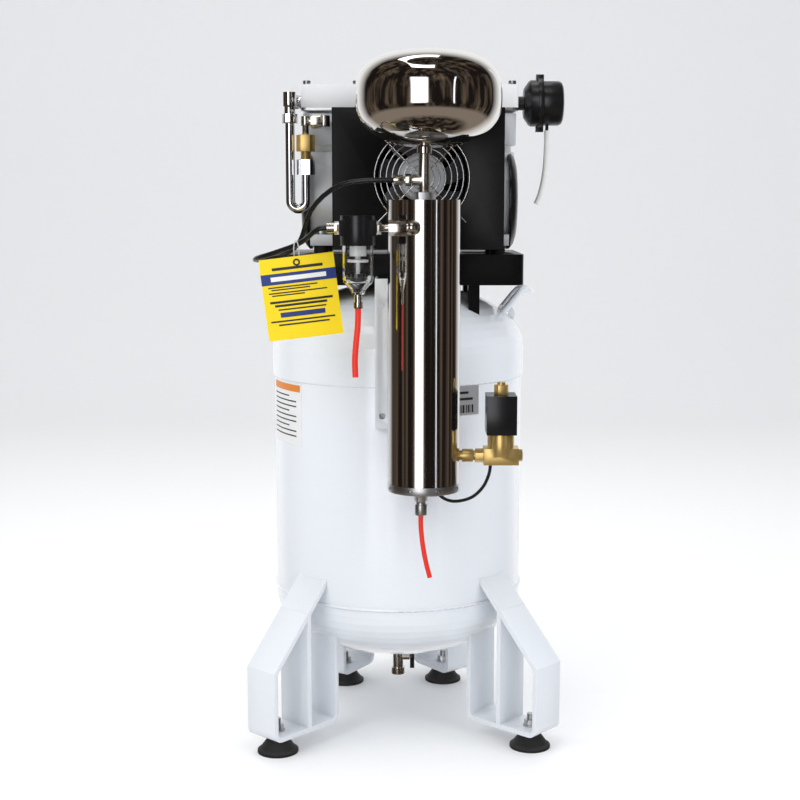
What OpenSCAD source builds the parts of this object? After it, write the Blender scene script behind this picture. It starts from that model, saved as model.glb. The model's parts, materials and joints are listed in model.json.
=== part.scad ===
// Upright oil-free twin-cylinder air compressor with a desiccant dryer column.
// Origin: on the floor, under the middle of the whole outline. +Z is up and -Y is the front.

/* [Tank] */
// Outer radius of the tank's shell
tank_r = 165; // [150:1:200]
// Height of the straight shell between the domed heads
shell_h = 333; // [280:1:420]
// Height of each domed head
head_h = 83; // [70:1:100]
// Thickness of the tank's wall
tank_wall = 3; // [2:0.5:5]
// Height of the tank's lowest point above the floor
tank_lift = 88; // [80:1:120]
// Height of the rear outlet above the shell's lower edge
outlet_up = 254; // [150:1:270]

/* [Legs] */
// Width of the flat bar that the legs are bent from
strap_w = 50; // [30:1:60]
// Thickness of the flat bar
strap_t = 6; // [4:0.5:8]
// Length of a front leg's foot, from inner to outer upright
front_foot = 113; // [90:1:140]
// Length of a rear leg's foot
rear_foot = 80; // [70:1:100]
// Height of the rubber pads under the legs
pad_h = 22; // [16:1:30]
// Radius of a rubber pad where it meets the floor
pad_r = 26; // [20:1:32]
// Radius of the studs in the pads
stud_r = 4; // [3:0.5:6]

/* [Deck] */
// Length of the pump deck, side to side
deck_l = 320; // [290:1:380]
// Depth of the pump deck, front to rear
deck_d = 200; // [180:1:240]
// Height of the deck's folded rim
deck_rim = 39; // [30:1:50]
// Thickness of the deck's sheet
deck_t = 3; // [2:0.5:5]

/* [Pump] */
// Distance between the two cylinders' axes
cyl_gap = 200; // [185:1:230]
// Radius of the cylinder bores
bore_r = 28; // [22:0.5:31]
// Radius of the motor's shell
motor_r = 54; // [48:1:56]
// Radius of the crankcases
case_r = 58; // [54:1:64]
// Height of the rubber mounts under the pump
mount_h = 10; // [8:1:16]
// Radius of the motor's shaft
shaft_r = 7.5; // [5:0.5:10]
// Throw of the eccentrics
throw_e = 7; // [4:0.5:8]
// Width of the cooling shroud
shroud_w = 215; // [190:1:240]
// Height of the cooling shroud
shroud_h = 176; // [150:1:190]

/* [Fan] */
// Side of the square cooling fan
fan_side = 120; // [100:1:130]
// Radius of the fan's hub
hub_r = 29; // [20:1:32]
// Number of fan blades
blades = 7; // [5:1:9]

/* [Dryer] */
// Outer radius of the dryer column
col_r = 43.5; // [36:0.5:50]
// Length of the dryer column
col_h = 347; // [300:1:400]
// Radius of the purge tank on the column
dome_r = 86; // [70:1:95]
// Height of the purge tank
dome_h = 112; // [90:1:130]
// Radius of the filter's clear bowl
bowl_r = 18; // [15:0.5:22]

/* [Fits] */
// Radial clearance of parts that turn or slide in bores
fit = 0.05; // [0.02:0.01:0.1]
// Gap between parts that move past one another
gap = 0.5; // [0.3:0.1:1]

/* [Hidden] */
$fn = 48;

white = [0.93, 0.94, 0.95];
black = [0.05, 0.05, 0.06];
cast = [0.72, 0.74, 0.76];
nickel = [0.75, 0.73, 0.68];
chrome = [0.82, 0.82, 0.84];
brass = [0.80, 0.62, 0.25];
rubber = [0.03, 0.03, 0.03];

// Heights up the tank
shell_z = tank_lift + head_h;
shell_top = shell_z + shell_h;
tank_top = shell_top + head_h;
lap = 2.5;
lap_z = shell_top - 37;
seam_z = shell_z + 11;
bead_r = 2.2;
head_steps = 14;

// Legs: distances from the tank's axis, and the front leg's heights
front_in = tank_r - 22;
front_out = front_in + front_foot;
knee_z = pad_h + 91;
weld_z = shell_z + 47;
pad_inset = 28;
leg_turn = 3;
strap_round = 12;
rear_turn = 55;
rear_out = [95, 72];
rear_pad_in = 42;

// Deck and pump
deck_z = tank_top + 1;
deck_top = deck_z + deck_rim;
case_z = deck_top + mount_h;
crank_z = case_z + case_r;
pump_x = 15;
left_x = pump_x - cyl_gap / 2;
right_x = pump_x + cyl_gap / 2;
case_w = 56;
case_wall = 8;
boss_wall = 10;
boss_gap = 0.4;
foot_x = 14;
foot_y = 50;
case_in = case_r - 10;
case_top = crank_z + case_r + 4;
cyl_h = 52;
cyl_wall = 6;
flange_up = 9;
plate_z = case_top + cyl_h;
plate_t = 4;
head_w = 80;
head_d = 92;
head_t = 29;
head_z = plate_z + plate_t;
bolt_r = 3;
cover_t = 12;
cover_r = case_r + 6;
bearing_r = 16;
bearing_w = 8;
big_end_r = throw_e + 14 + 1;

// Shroud and fan
shroud_x = -82;
shroud_y = -112;
shroud_d = 50;
shroud_t = 2;
shroud_z = deck_top + 6;
fan_x = 30;
fan_z = shroud_z + 90;
fan_t = 25;
fan_hole = fan_side / 2 - 3;
wire_r = 0.9;
ring_step = 7.4;

// Dryer
col_x = 31;
col_gap = 7;
col_y = -(tank_r + col_gap + col_r);
col_z = deck_top - col_h + 68;
col_top = col_z + col_h;
col_wall = 2;
cap_h = 10;
tee_z = col_top + 32;
tee_r = 6.5;
dome_z = col_top + 60;
dome_wall = 1.5;
filter_x = -45.5;
filter_y = col_y - 52;
filter_z = col_top - 32;
valve_x = 124;
valve_z = col_z + 42;
plug_len = 11;

// Intake filter
air_x = right_x + head_w / 2;
air_z = head_z + 8;
air_r = 30;

// From the tank's axis to the middle of the outline
off_centre = [-13, 4, 0];

module placed() {
    translate(off_centre) children();
}

function ellipse_quarter(r, h, from, to, n) =
    [for (i = [0:n]) let (a = from + (to - from) * i / n) [r * cos(a), h * sin(a)]];

function raise(points, z) = [for (p = points) [p[0], p[1] + z]];

// A smooth run through the points, with some steps to each span
function spline_at(a, b, c, d, t) =
    0.5 * (2 * b + (c - a) * t + (2 * a - 5 * b + 4 * c - d) * t * t
    + (3 * b - a - 3 * c + d) * t * t * t);

function smooth(p, steps) = let (n = len(p) - 1) concat(
    [for (i = [0:n - 1]) for (s = [0:steps - 1])
        spline_at(p[max(i - 1, 0)], p[i], p[i + 1], p[min(i + 2, n)], s / steps)],
    [p[n]]);

function unit(v) = v / norm(v);

function ring(c, t, ref, r, n) =
    let (u = unit(cross(t, ref)), w = cross(t, u))
    [for (k = [0:n - 1]) c + r * (cos(360 * k / n) * u + sin(360 * k / n) * w)];

// A round tube along a run of points; ref is a direction that the run never takes
module tube(run, r, sides, ref) {
    n = len(run);
    rings = [for (i = [0:n - 1])
        ring(run[i], unit(run[min(i + 1, n - 1)] - run[max(i - 1, 0)]), ref, r, sides)];
    walls = [for (i = [0:n - 2]) for (k = [0:sides - 1])
        let (a = i * sides, b = a + sides, j = (k + 1) % sides) [a + k, a + j, b + j, b + k]];
    polyhedron(
        points = [for (one = rings) for (p = one) p],
        faces = concat(
            [[for (k = [sides - 1:-1:0]) k]],
            walls,
            [[for (k = [0:sides - 1]) (n - 1) * sides + k]]),
        convexity = 6);
}

module along_x(x, y, z) {
    translate([x, y, z]) rotate([0, 90, 0]) children();
}

module hex(across, h) {
    cylinder(r = across / 2 / cos(30), h = h, $fn = 6);
}

module rounded(w, d, r) {
    for (x = [-1, 1]) translate([x * (w / 2 - r), 0]) square([2 * r, d - 2 * r], center = true);
    square([w - 2 * r, d], center = true);
    for (x = [-1, 1]) for (y = [-1, 1]) translate([x * (w / 2 - r), y * (d / 2 - r)]) circle(r);
}

// Tank

module tank_form(inset) {
    r = tank_r - inset;
    h = head_h - inset;
    rotate_extrude($fn = 96)
        polygon(concat(
            raise(ellipse_quarter(r, h, -90, 0, head_steps), shell_z),
            [[r, lap_z], [r + lap, lap_z]],
            raise(ellipse_quarter(r + lap, h, 0, 90, head_steps), shell_top)));
}

module bead(r, z) {
    translate([0, 0, z]) rotate_extrude($fn = 96) translate([r, 0]) circle(bead_r, $fn = 16);
}

drain_hole = 4.5;
drain_boss = 14;
outlet_hole = 5.8;
outlet_boss = 13;
outlet_z = shell_z + outlet_up;
outlet_out = 18;

module tank() {
    color(white) placed() difference() {
        union() {
            tank_form(0);
            bead(tank_r, seam_z);
            bead(tank_r, lap_z);
            translate([0, 0, tank_lift - 6]) cylinder(r = drain_boss, h = 14);
            translate([0, tank_r - 10, outlet_z]) rotate([-90, 0, 0])
                cylinder(r = outlet_boss, h = 10 + outlet_out);
        }
        tank_form(tank_wall);
        translate([0, 0, tank_lift - 7]) cylinder(r = drain_hole, h = 30);
        translate([0, tank_r - 20, outlet_z]) rotate([-90, 0, 0])
            cylinder(r = outlet_hole, h = 21 + outlet_out);
    }
}

valve_len = 36;
knob_r = 6;

module drain_valve() {
    color(nickel) placed() difference() {
        union() {
            translate([0, 0, tank_lift - 6 - valve_len]) cylinder(r = 9, h = 9);
            translate([0, 0, tank_lift - 6 - valve_len]) cylinder(r = 7, h = valve_len);
            along_x(0, 0, tank_lift - 18) cylinder(r = 5, h = 16);
        }
        translate([0, 0, tank_lift - 7 - valve_len]) cylinder(r = 3, h = 12);
        along_x(4, 0, tank_lift - 18) cylinder(r = 2 + fit, h = 13);
    }
}

module drain_knob() {
    color(black) placed() {
        along_x(5, 0, tank_lift - 18) cylinder(r = 2, h = 13);
        along_x(16 + gap, 0, tank_lift - 18) cylinder(r = knob_r, h = 6);
        translate([16 + gap, -4, tank_lift - 34]) cube([6, 8, 16]);
    }
}

// Handle loop and eye on the upper right shoulder
grip_run = [
    [122, -26, 519], [130, -26, 533], [144, -26, 550], [158, -26, 567], [166, -22, 573],
    [174, -12, 571], [176, 0, 570], [174, 12, 571], [166, 22, 573], [158, 26, 567],
    [144, 26, 550], [130, 26, 533], [122, 26, 519]];
grip_r = 4.5;
handle_shift = [tank_r - 165, 0, tank_top - 582];

module tank_handle() {
    color(white) placed() difference() {
        translate(handle_shift) tube(smooth(grip_run, 3), grip_r, 12, [-0.6, 0.1, 1]);
        tank_form(0);
    }
}

module lifting_eye() {
    color(white) placed() difference() {
        translate([tank_r - 22, 0, shell_top + 40]) rotate([90, 45, 0])
            linear_extrude(8, center = true) difference() {
                union() {
                    circle(13);
                    translate([-13, -26]) square([26, 26]);
                }
                circle(5);
            }
        tank_form(0);
    }
}

// Legs

module strap_ring(outline, inline_) {
    rotate([90, 0, 0]) linear_extrude(strap_w, center = true)
        difference() {
            polygon(outline);
            polygon(inline_);
        }
}

// Corner points of an arc that rounds a corner of a leg's loop
function corner(x, z, r, from) = [for (i = [0:4]) let (a = from + i * 22.5)
    [x + r * cos(a), z + r * sin(a)]];

module front_leg_form() {
    o = front_out;
    n = front_in;
    slope = [tank_r - 4, weld_z];
    run = [o - slope[0], knee_z - slope[1]];
    side = strap_t * unit([-run[1], run[0]]);
    difference() {
        union() {
            strap_ring(
                concat(corner(n + strap_round, pad_h + strap_round, strap_round, 180),
                    corner(o - strap_round, pad_h + strap_round, strap_round, 270),
                    [[o, knee_z], slope, slope - [20, 10], [n, shell_z]]),
                concat(corner(n + strap_round, pad_h + strap_round, strap_round - strap_t, 180),
                    corner(o - strap_round, pad_h + strap_round, strap_round - strap_t, 270),
                    [[o - strap_t, knee_z - 2], slope - side, [tank_r - 30, weld_z],
                     [n + strap_t, shell_z + 1]]));
            translate([front_in + 49, -strap_w / 2, pad_h + 2])
                cube([strap_t, strap_w, weld_z - 42 - pad_h]);
        }
        translate([o - pad_inset, 0, 0]) cylinder(r = stud_r + gap, h = pad_h + strap_t + 1);
    }
}

module front_leg(angle) {
    color(white) placed() difference() {
        rotate(angle) front_leg_form();
        tank_form(0);
        bead(tank_r, seam_z);
    }
}

module rear_leg(side) {
    low = pad_h;
    top = shell_z;
    n = rear_foot;
    color(white) placed() difference() {
        rotate(leg_turn) translate([side * rear_out[0], rear_out[1], 0]) mirror([side > 0 ? 0 : 1, 0, 0])
            rotate(180 - rear_turn) difference() {
                strap_ring(
                    concat([[0, top]], corner(strap_round, low + strap_round, strap_round, 180),
                        corner(n - strap_round, low + strap_round, strap_round, 270), [[n, top]]),
                    concat([[strap_t, top + 1]],
                        corner(strap_round, low + strap_round, strap_round - strap_t, 180),
                        corner(n - strap_round, low + strap_round, strap_round - strap_t, 270),
                        [[n - strap_t, top + 1]]));
                translate([rear_pad_in, 0, 0]) cylinder(r = stud_r + gap, h = low + strap_t + 1);
            }
        tank_form(0);
    }
}

module leg_front_left() {
    front_leg(leg_turn - 135);
}

module leg_front_right() {
    front_leg(leg_turn - 45);
}

module leg_rear_left() {
    rear_leg(-1);
}

module leg_rear_right() {
    rear_leg(1);
}

front_pad = (front_out - pad_inset) * cos(45);
rear_pad_x = rear_out[0] - rear_pad_in * cos(rear_turn);
rear_pad_y = rear_out[1] + rear_pad_in * sin(rear_turn);
pad_spots = [[-front_pad, -front_pad], [front_pad, -front_pad],
    [-rear_pad_x, rear_pad_y], [rear_pad_x, rear_pad_y]];

module at_pads(z) {
    rotate(leg_turn) for (p = pad_spots) translate([p[0], p[1], z]) children();
}

module foot_pads() {
    color(rubber) placed() at_pads(0) difference() {
        rotate_extrude() polygon([[0, 0], [pad_r, 0], [pad_r, 3], [pad_r - 4, 6],
            [pad_r - 12, pad_h - 5], [pad_r - 12, pad_h], [0, pad_h]]);
        translate([0, 0, 8]) cylinder(r = stud_r, h = pad_h);
    }
}

module foot_studs() {
    color("silver") placed() at_pads(8)
        cylinder(r = stud_r, h = pad_h - 8 + strap_t + 16);
}

module foot_nuts() {
    color("silver") placed() at_pads(pad_h + strap_t) difference() {
        union() {
            cylinder(r = 9, h = 1.6);
            translate([0, 0, 1.6]) hex(13, 6.5);
        }
        translate([0, 0, -1]) cylinder(r = stud_r, h = 12);
    }
}

// Bracket that carries the dryer column on the tank
bracket_x = [-28, 70];
bracket_t = 3;
bracket_y = col_y + col_r + 1;
bracket_low = col_z + 67;
bracket_stem = [-5, 68];
gland_x = 47;
bracket_top = deck_z + 12;
gland_y = bracket_y + bracket_t + 2.2;

module column_bracket() {
    color(white) placed() {
        translate([bracket_stem[0], bracket_y, col_z + 8])
            cube([bracket_stem[1] - bracket_stem[0], bracket_t, bracket_low - col_z]);
        difference() {
            translate([bracket_x[0], bracket_y, bracket_low])
                cube([bracket_x[1] - bracket_x[0], bracket_t, bracket_top - bracket_low]);
            for (z = [bracket_low + 8, bracket_top - 40]) translate([-19, bracket_y - 1, z + 8])
                rotate([-90, 0, 0]) cylinder(r = 4, h = bracket_t + 2);
        }
        difference() {
            for (x = [bracket_x[0], bracket_x[1] - bracket_t])
                translate([x, bracket_y + bracket_t, bracket_low])
                    cube([bracket_t, 60, bracket_top - bracket_low]);
            tank_form(0);
            bead(tank_r, lap_z);
            cylinder(r = tank_r - 10, h = tank_top);
        }
        translate([gland_x, gland_y, col_z + 2]) cylinder(r = 3.2, h = 14);
        for (z = [col_z + 60, col_z + 200]) translate([col_x - 8, bracket_y - 1.8, z])
            difference() {
                cube([16, 1.8, 18]);
                translate([8, col_y - bracket_y + 1.8, -1]) cylinder(r = col_r, h = 20);
            }
    }
}

// Deck

module at_feet() {
    for (x = [left_x - foot_x, right_x + foot_x]) for (y = [-foot_y, foot_y])
        translate([x, y, 0]) children();
}

module deck() {
    color(black) placed() difference() {
        translate([0, 0, deck_z]) linear_extrude(deck_rim) rounded(deck_l, deck_d, 14);
        translate([0, 0, deck_z - 1]) linear_extrude(deck_rim - deck_t + 1)
            rounded(deck_l - 2 * deck_t, deck_d - 2 * deck_t, 11);
        at_feet() translate([0, 0, deck_top - deck_t - 1]) cylinder(r = 4.2, h = deck_t + 2);
    }
}

post_x = 97;
post_y = 78;

module deck_posts() {
    color(black) placed() difference() {
        for (x = [-1, 1]) for (y = [-1, 1]) translate([x * post_x - 7, y * post_y - 15, shell_top])
            cube([14, 30, deck_top - deck_t - shell_top]);
        tank_form(0);
    }
}

module pump_mounts() {
    color(rubber) placed() at_feet() {
        translate([0, 0, deck_top]) cylinder(r = 10, h = mount_h);
        translate([0, 0, deck_top - deck_t - 6]) cylinder(r = 4.2, h = deck_t + 6);
    }
}

module mount_bolts() {
    color("silver") placed() at_feet() translate([0, 0, case_z + 14]) {
        cylinder(r = 6.5, h = 1.6);
        translate([0, 0, 1.6]) hex(9, 4);
        cylinder(r = 3, h = 8);
    }
}

// Pump. Each side's parts are drawn about the left cylinder, looking outwards along -X

module crankcase_form() {
    difference() {
        union() {
            along_x(-case_w / 2, 0, crank_z) cylinder(r = case_r, h = case_w);
            translate([-case_w / 2, -foot_y - 11, case_z]) cube([case_w, 2 * foot_y + 22, 14]);
            translate([0, 0, crank_z]) cylinder(r = bore_r + boss_wall, h = case_top - crank_z);
        }
        along_x(-case_w / 2 - 1, 0, crank_z) cylinder(r = case_in, h = case_w - case_wall + 1);
        along_x(0, 0, crank_z) cylinder(r = bearing_r, h = case_w);
        translate([0, 0, crank_z]) cylinder(r = bore_r + 0.5, h = case_r + 10);
    }
}

module cylinder_form() {
    translate([0, 0, case_top]) difference() {
        union() {
            cylinder(r = bore_r + cyl_wall, h = cyl_h);
            translate([0, 0, flange_up]) linear_extrude(cyl_h - flange_up - 3)
                rounded(head_w - 4, head_d - 10, 12);
        }
        translate([0, 0, -1]) cylinder(r = bore_r, h = cyl_h + 2);
    }
}

module bolt_corners() {
    for (x = [-1, 1]) for (y = [-1, 1])
        translate([x * (head_w / 2 - 8), y * (head_d / 2 - 8), 0]) children();
}

module valve_plate_form() {
    translate([0, 0, plate_z]) difference() {
        linear_extrude(plate_t) rounded(head_w, head_d, 8);
        for (y = [-12, 12]) translate([0, y, -1]) cylinder(r = 5, h = plate_t + 2);
        bolt_corners() translate([0, 0, -1]) cylinder(r = bolt_r, h = plate_t + 2);
    }
}

module head_form(port) {
    translate([0, 0, head_z]) difference() {
        linear_extrude(head_t) rounded(head_w, head_d, 8);
        for (y = [-15, 15]) translate([0, y, -1]) linear_extrude(head_t - 7) rounded(46, 24, 5);
        bolt_corners() translate([0, 0, -1]) cylinder(r = bolt_r, h = head_t + 2);
        along_x(port > 0 ? 15 : -head_w / 2 - 1, port > 0 ? 0 : port_y, air_z - head_z)
            cylinder(r = 5, h = 26);
    }
}

module piston_form() {
    difference() {
        union() {
            along_x(-7, 0, crank_z) cylinder(r = big_end_r + 5, h = 14);
            translate([-5, -8, crank_z]) cube([10, 16, case_top - crank_z + 18]);
            translate([0, 0, case_top + 16]) cylinder(r = bore_r - fit, h = 9);
        }
        along_x(-8, 0, crank_z) cylinder(r = big_end_r, h = 16);
    }
}

// Room left round the boss that carries each cylinder
module boss_space() {
    translate([0, 0, crank_z]) cylinder(r = bore_r + boss_wall + boss_gap, h = cover_r + 10);
}

module crank_cover_form() {
    difference() {
        along_x(-case_w / 2 - cover_t, 0, crank_z) difference() {
            rotate_extrude() polygon([[0, 0], [cover_r - 16, 0], [cover_r - 6, 3], [cover_r, 8],
                [cover_r, cover_t], [0, cover_t]]);
            translate([0, 0, 4]) cylinder(r = case_in - 3, h = cover_t);
        }
        boss_space();
    }
}

module on_left() {
    translate([left_x, 0, 0]) children();
}

module on_right() {
    translate([right_x, 0, 0]) mirror([1, 0, 0]) children();
}

module crankcase_left() {
    color(cast) placed() on_left() crankcase_form();
}

module crankcase_right() {
    color(cast) placed() on_right() crankcase_form();
}

module crank_cover_left() {
    color(black) placed() on_left() crank_cover_form();
}

module crank_cover_right() {
    color(black) placed() on_right() crank_cover_form();
}

module cylinder_left() {
    color(cast) placed() on_left() cylinder_form();
}

module cylinder_right() {
    color(cast) placed() on_right() cylinder_form();
}

module valve_plate_left() {
    color("gray") placed() on_left() valve_plate_form();
}

module valve_plate_right() {
    color("gray") placed() on_right() valve_plate_form();
}

module head_left() {
    color(white) placed() on_left() head_form(-1);
}

module head_right() {
    color(white) placed() translate([right_x, 0, 0]) head_form(1);
}

module head_bolts() {
    color("silver") placed() for (x = [left_x, right_x]) translate([x, 0, plate_z]) bolt_corners() {
        cylinder(r = bolt_r, h = plate_t + head_t);
        translate([0, 0, plate_t + head_t]) difference() {
            cylinder(r = 5, h = 5);
            translate([0, 0, 2]) hex(5, 4);
        }
    }
}

module piston_left() {
    color("silver") placed() on_left() piston_form();
}

module piston_right() {
    color("silver") placed() on_right() piston_form();
}

motor_x = left_x + case_w / 2;
motor_l = cyl_gap - case_w;

module motor_shell() {
    color(black) placed() difference() {
        along_x(motor_x, 0, crank_z) difference() {
            cylinder(r = motor_r, h = motor_l);
            translate([0, 0, -1]) cylinder(r = motor_r - 3, h = motor_l + 2);
        }
        for (x = [left_x, right_x]) translate([x, 0, 0]) boss_space();
    }
}

module motor_stator() {
    color("dimgray") placed() along_x(motor_x + 22, 0, crank_z) difference() {
        cylinder(r = motor_r - 3, h = motor_l - 44);
        translate([0, 0, -1]) cylinder(r = motor_r - 23, h = motor_l);
    }
}

module motor_shaft() {
    color("silver") placed() {
        along_x(left_x - 12, 0, crank_z) cylinder(r = shaft_r, h = cyl_gap + 24);
        along_x(motor_x + 24, 0, crank_z) cylinder(r = motor_r - 23 - gap, h = motor_l - 48);
        for (side = [0, 1])
            along_x((side ? right_x : left_x) - 6, 0, crank_z + (side ? -1 : 1) * throw_e)
                cylinder(r = 14, h = 12);
    }
}

module shaft_bearings() {
    color("silver") placed()
        for (x = [left_x + case_w / 2 - case_wall, right_x - case_w / 2])
            along_x(x, 0, crank_z) difference() {
                cylinder(r = bearing_r, h = bearing_w);
                translate([0, 0, -1]) cylinder(r = shaft_r + fit, h = bearing_w + 2);
            }
}

// Shroud and fan

module shroud() {
    color(black) placed() translate([shroud_x, shroud_y, shroud_z]) difference() {
        cube([shroud_w, shroud_d, shroud_h]);
        translate([shroud_t, shroud_t, shroud_t])
            cube([shroud_w - 2 * shroud_t, shroud_d, shroud_h - 2 * shroud_t]);
        translate([fan_x - shroud_x, -1, fan_z - shroud_z]) rotate([-90, 0, 0])
            cylinder(r = fan_hole, h = shroud_t + 2);
    }
}

stay_x = [left_x + 16, right_x - 8];
stay_z = case_z + 2;

module shroud_stays() {
    color(black) placed() for (x = stay_x) translate([x - 8, shroud_y + shroud_t, stay_z])
        cube([16, -foot_y - 11 - shroud_y - shroud_t, 4]);
}

module at_fan(y) {
    translate([fan_x, y, fan_z]) rotate([-90, 0, 0]) children();
}

fan_y = shroud_y + shroud_t;
hub_h = 16;

module fan_frame() {
    color(black) placed() at_fan(fan_y) difference() {
        union() {
            difference() {
                linear_extrude(fan_t) rounded(fan_side, fan_side, 5);
                translate([0, 0, -1]) cylinder(r = fan_hole, h = fan_t + 2);
            }
            translate([0, 0, fan_t - 4]) cylinder(r = hub_r, h = 4);
            for (a = [45:90:315]) rotate(a) translate([hub_r - 2, -3, fan_t - 3])
                cube([fan_hole - hub_r + 4, 6, 3]);
            translate([0, 0, 6]) cylinder(r = 3, h = fan_t - 6);
        }
        for (x = [-1, 1]) for (y = [-1, 1])
            translate([x * (fan_side / 2 - 7.5), y * (fan_side / 2 - 7.5), -1])
                cylinder(r = 2.2, h = fan_t + 2);
    }
}

module fan_rotor() {
    color("silver") placed() at_fan(fan_y + 3) difference() {
        union() {
            cylinder(r = hub_r, h = hub_h);
            for (i = [0:blades - 1]) rotate(i * 360 / blades)
                translate([hub_r - 2, 0, hub_h / 2]) rotate([32, 0, 0])
                    translate([0, -13, -1]) cube([fan_hole - hub_r - 1, 26, 2]);
        }
        translate([0, 0, 2]) cylinder(r = 3 + fit, h = hub_h);
    }
}

guard_rings = 8;
guard_r = wire_r + ring_step * guard_rings;

module fan_guard() {
    color("silver") placed() at_fan(shroud_y - 1.2 - wire_r) {
        for (i = [1:guard_rings]) rotate_extrude()
            translate([i * ring_step, 0]) circle(wire_r, $fn = 16);
        for (a = [45, 135]) rotate(a) translate([-guard_r - 18, 0, 1.2]) rotate([0, 90, 0])
            cylinder(r = wire_r, h = 2 * guard_r + 36, $fn = 16);
    }
}

// Air intake at the right head, seen edge on from the front
neck_len = 10;
body_len = 18;
ring_len = 6;
cap_len = 27;
cap_x = air_x + neck_len + body_len + ring_len;
tube_x = cap_x + 7;
tube_r = 3.5;

module intake_filter() {
    color(black) placed() along_x(air_x, 0, air_z) difference() {
        union() {
            cylinder(r = 9, h = neck_len + 2);
            translate([0, 0, neck_len]) rotate_extrude() polygon([[0, 0], [air_r - 11, 0],
                [air_r - 2, 6], [air_r, 9], [air_r, body_len], [0, body_len]]);
            translate([0, 0, neck_len + body_len]) cylinder(r = air_r + 3, h = ring_len);
            for (a = [0, 180]) rotate(a) translate([air_r - 1, -4, neck_len + body_len - 2])
                cube([8, 8, ring_len + 4]);
        }
        translate([0, 0, -1]) cylinder(r = 5, h = 30);
        translate([0, 0, neck_len + 8]) cylinder(r = air_r - 4, h = 40);
    }
}

module intake_cap() {
    color(black) placed() difference() {
        union() {
            along_x(cap_x, 0, air_z) rotate_extrude() polygon([[0, 0], [air_r - 1.2, 0],
                [air_r - 1.2, cap_len - 6], [air_r - 3, cap_len - 2], [air_r - 7, cap_len],
                [0, cap_len]]);
            translate([tube_x, 0, air_z - air_r - 5]) cylinder(r = 2.2, h = 12);
        }
        along_x(cap_x - 1, 0, air_z) cylinder(r = air_r - 4, h = cap_len - 2);
    }
}

// Free tubes: hand-chosen points, from the fitting to the cut end
breather_run = [[196, 0, 786], [196, 0, 772], [195.5, 0, 755], [194.5, 0, 737],
    [192, 0, 719], [188, 0, 702], [183, 0, 690]];
filter_drain_run = [[-45.5, -267.5, 571], [-46, -267, 552], [-48, -267, 532],
    [-49.5, -267, 511], [-49, -267, 491]];
column_drain_run = [[28, -215.5, 317], [28, -215.5, 303], [30, -215.5, 282],
    [34, -215.5, 259], [39, -215.5, 239]];
cable_run = [[112, -215, 380], [110, -214, 366], [103, -211, 350], [91, -205, 337],
    [76, -196, 330], [63, -184, 328], [52.5, -174, 332], [47.5, -167, 340], [47, -165.8, 350]];
hose_run = [[-5, -215.5, 718], [-20, -215.5, 718], [-42, -214, 717], [-66, -209, 713],
    [-88, -200, 700], [-104, -190, 682], [-112, -180, 662], [-120, -168, 643],
    [-136, -160, 630], [-156, -164, 624], [-170, -182, 623], [-168, -206, 626],
    [-152, -224, 631], [-134, -234, 637], [-118, -240, 643], [-106, -250, 650],
    [-98, -261, 657], [-90, -267, 662], [-81, -267.5, 663]];

module intake_tube() {
    color([0.85, 0.86, 0.84]) placed() tube(breather_run, tube_r, 8, [0, 1, 0]);
}

// Discharge line at the pump's left front: a U of tube between two head fittings
pipe_x = [-137, -117];
pipe_y = -72;
pipe_r = 6;
pipe_low = crank_z - 1;
bend_r = (pipe_x[1] - pipe_x[0]) / 2;
pipe_rise = 33;
port_out = 24;
port_y = -24;
low_port_z = air_z - 27;

module pipe_nut(x, z, across, h) {
    translate([x, pipe_y, z]) hex(across, h);
}

module discharge_pipe() {
    color("silver") placed() {
        translate([pipe_x[0], pipe_y, pipe_low]) cylinder(r = pipe_r, h = air_z - 30 - pipe_low);
        translate([pipe_x[1], pipe_y, pipe_low]) cylinder(r = pipe_r, h = pipe_rise);
        translate([pipe_x[0] + bend_r, pipe_y, pipe_low]) rotate([-90, 0, 0])
            rotate_extrude(angle = 180) translate([bend_r, 0]) circle(pipe_r);
        pipe_nut(pipe_x[1], pipe_low + pipe_rise, 20, 19);
    }
}

module discharge_elbow() {
    color(chrome) placed() {
        pipe_nut(pipe_x[0], air_z - 30, 17, 12);
        translate([pipe_x[0], pipe_y, air_z - 18]) cylinder(r = 7, h = 10);
        translate([pipe_x[0], pipe_y, air_z - 9]) cylinder(r = 8.5, h = 18);
        translate([pipe_x[0], pipe_y, air_z]) rotate([-90, 0, 0]) cylinder(r = 7, h = port_y - pipe_y);
        translate([pipe_x[0], port_y, air_z - 9]) cylinder(r = 8.5, h = 18);
        along_x(pipe_x[0], port_y, air_z) cylinder(r = 6, h = 10);
        along_x(pipe_x[0] + 9, port_y, air_z) hex(15, left_x - head_w / 2 - pipe_x[0] - 9);
    }
}

module discharge_valve() {
    color(brass) placed() {
        translate([pipe_x[1], pipe_y, pipe_low + pipe_rise + 19]) cylinder(r = 6.5, h = 10);
        pipe_nut(pipe_x[1], pipe_low + pipe_rise + 29, 21, 21);
    }
}

module discharge_fitting() {
    x = pipe_x[1];
    z = pipe_low + pipe_rise + 50;
    color(nickel) placed() difference() {
        union() {
            translate([x, pipe_y, z]) cylinder(r = 4.5, h = low_port_z - z);
            translate([x, pipe_y, low_port_z - 6]) cylinder(r = 6, h = 12);
            along_x(x, pipe_y, low_port_z) cylinder(r = 4.5, h = port_out);
            along_x(x + 7, pipe_y, low_port_z) hex(16, 14);
            translate([x + port_out, pipe_y, low_port_z - 7]) cylinder(r = 7, h = 14);
            translate([x + port_out, pipe_y, low_port_z]) rotate([-90, 0, 0])
                cylinder(r = 5.5, h = 50);
        }
        translate([left_x, 0, case_top]) linear_extrude(cyl_h)
            rounded(head_w - 4, head_d - 10, 12);
    }
}

// Dryer column

module dryer_column() {
    color(chrome) placed() translate([col_x, col_y, col_z + cap_h]) difference() {
        cylinder(r = col_r, h = col_h - cap_h);
        translate([0, 0, -1]) cylinder(r = col_r - col_wall, h = col_h - cap_h + 2);
    }
}

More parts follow.
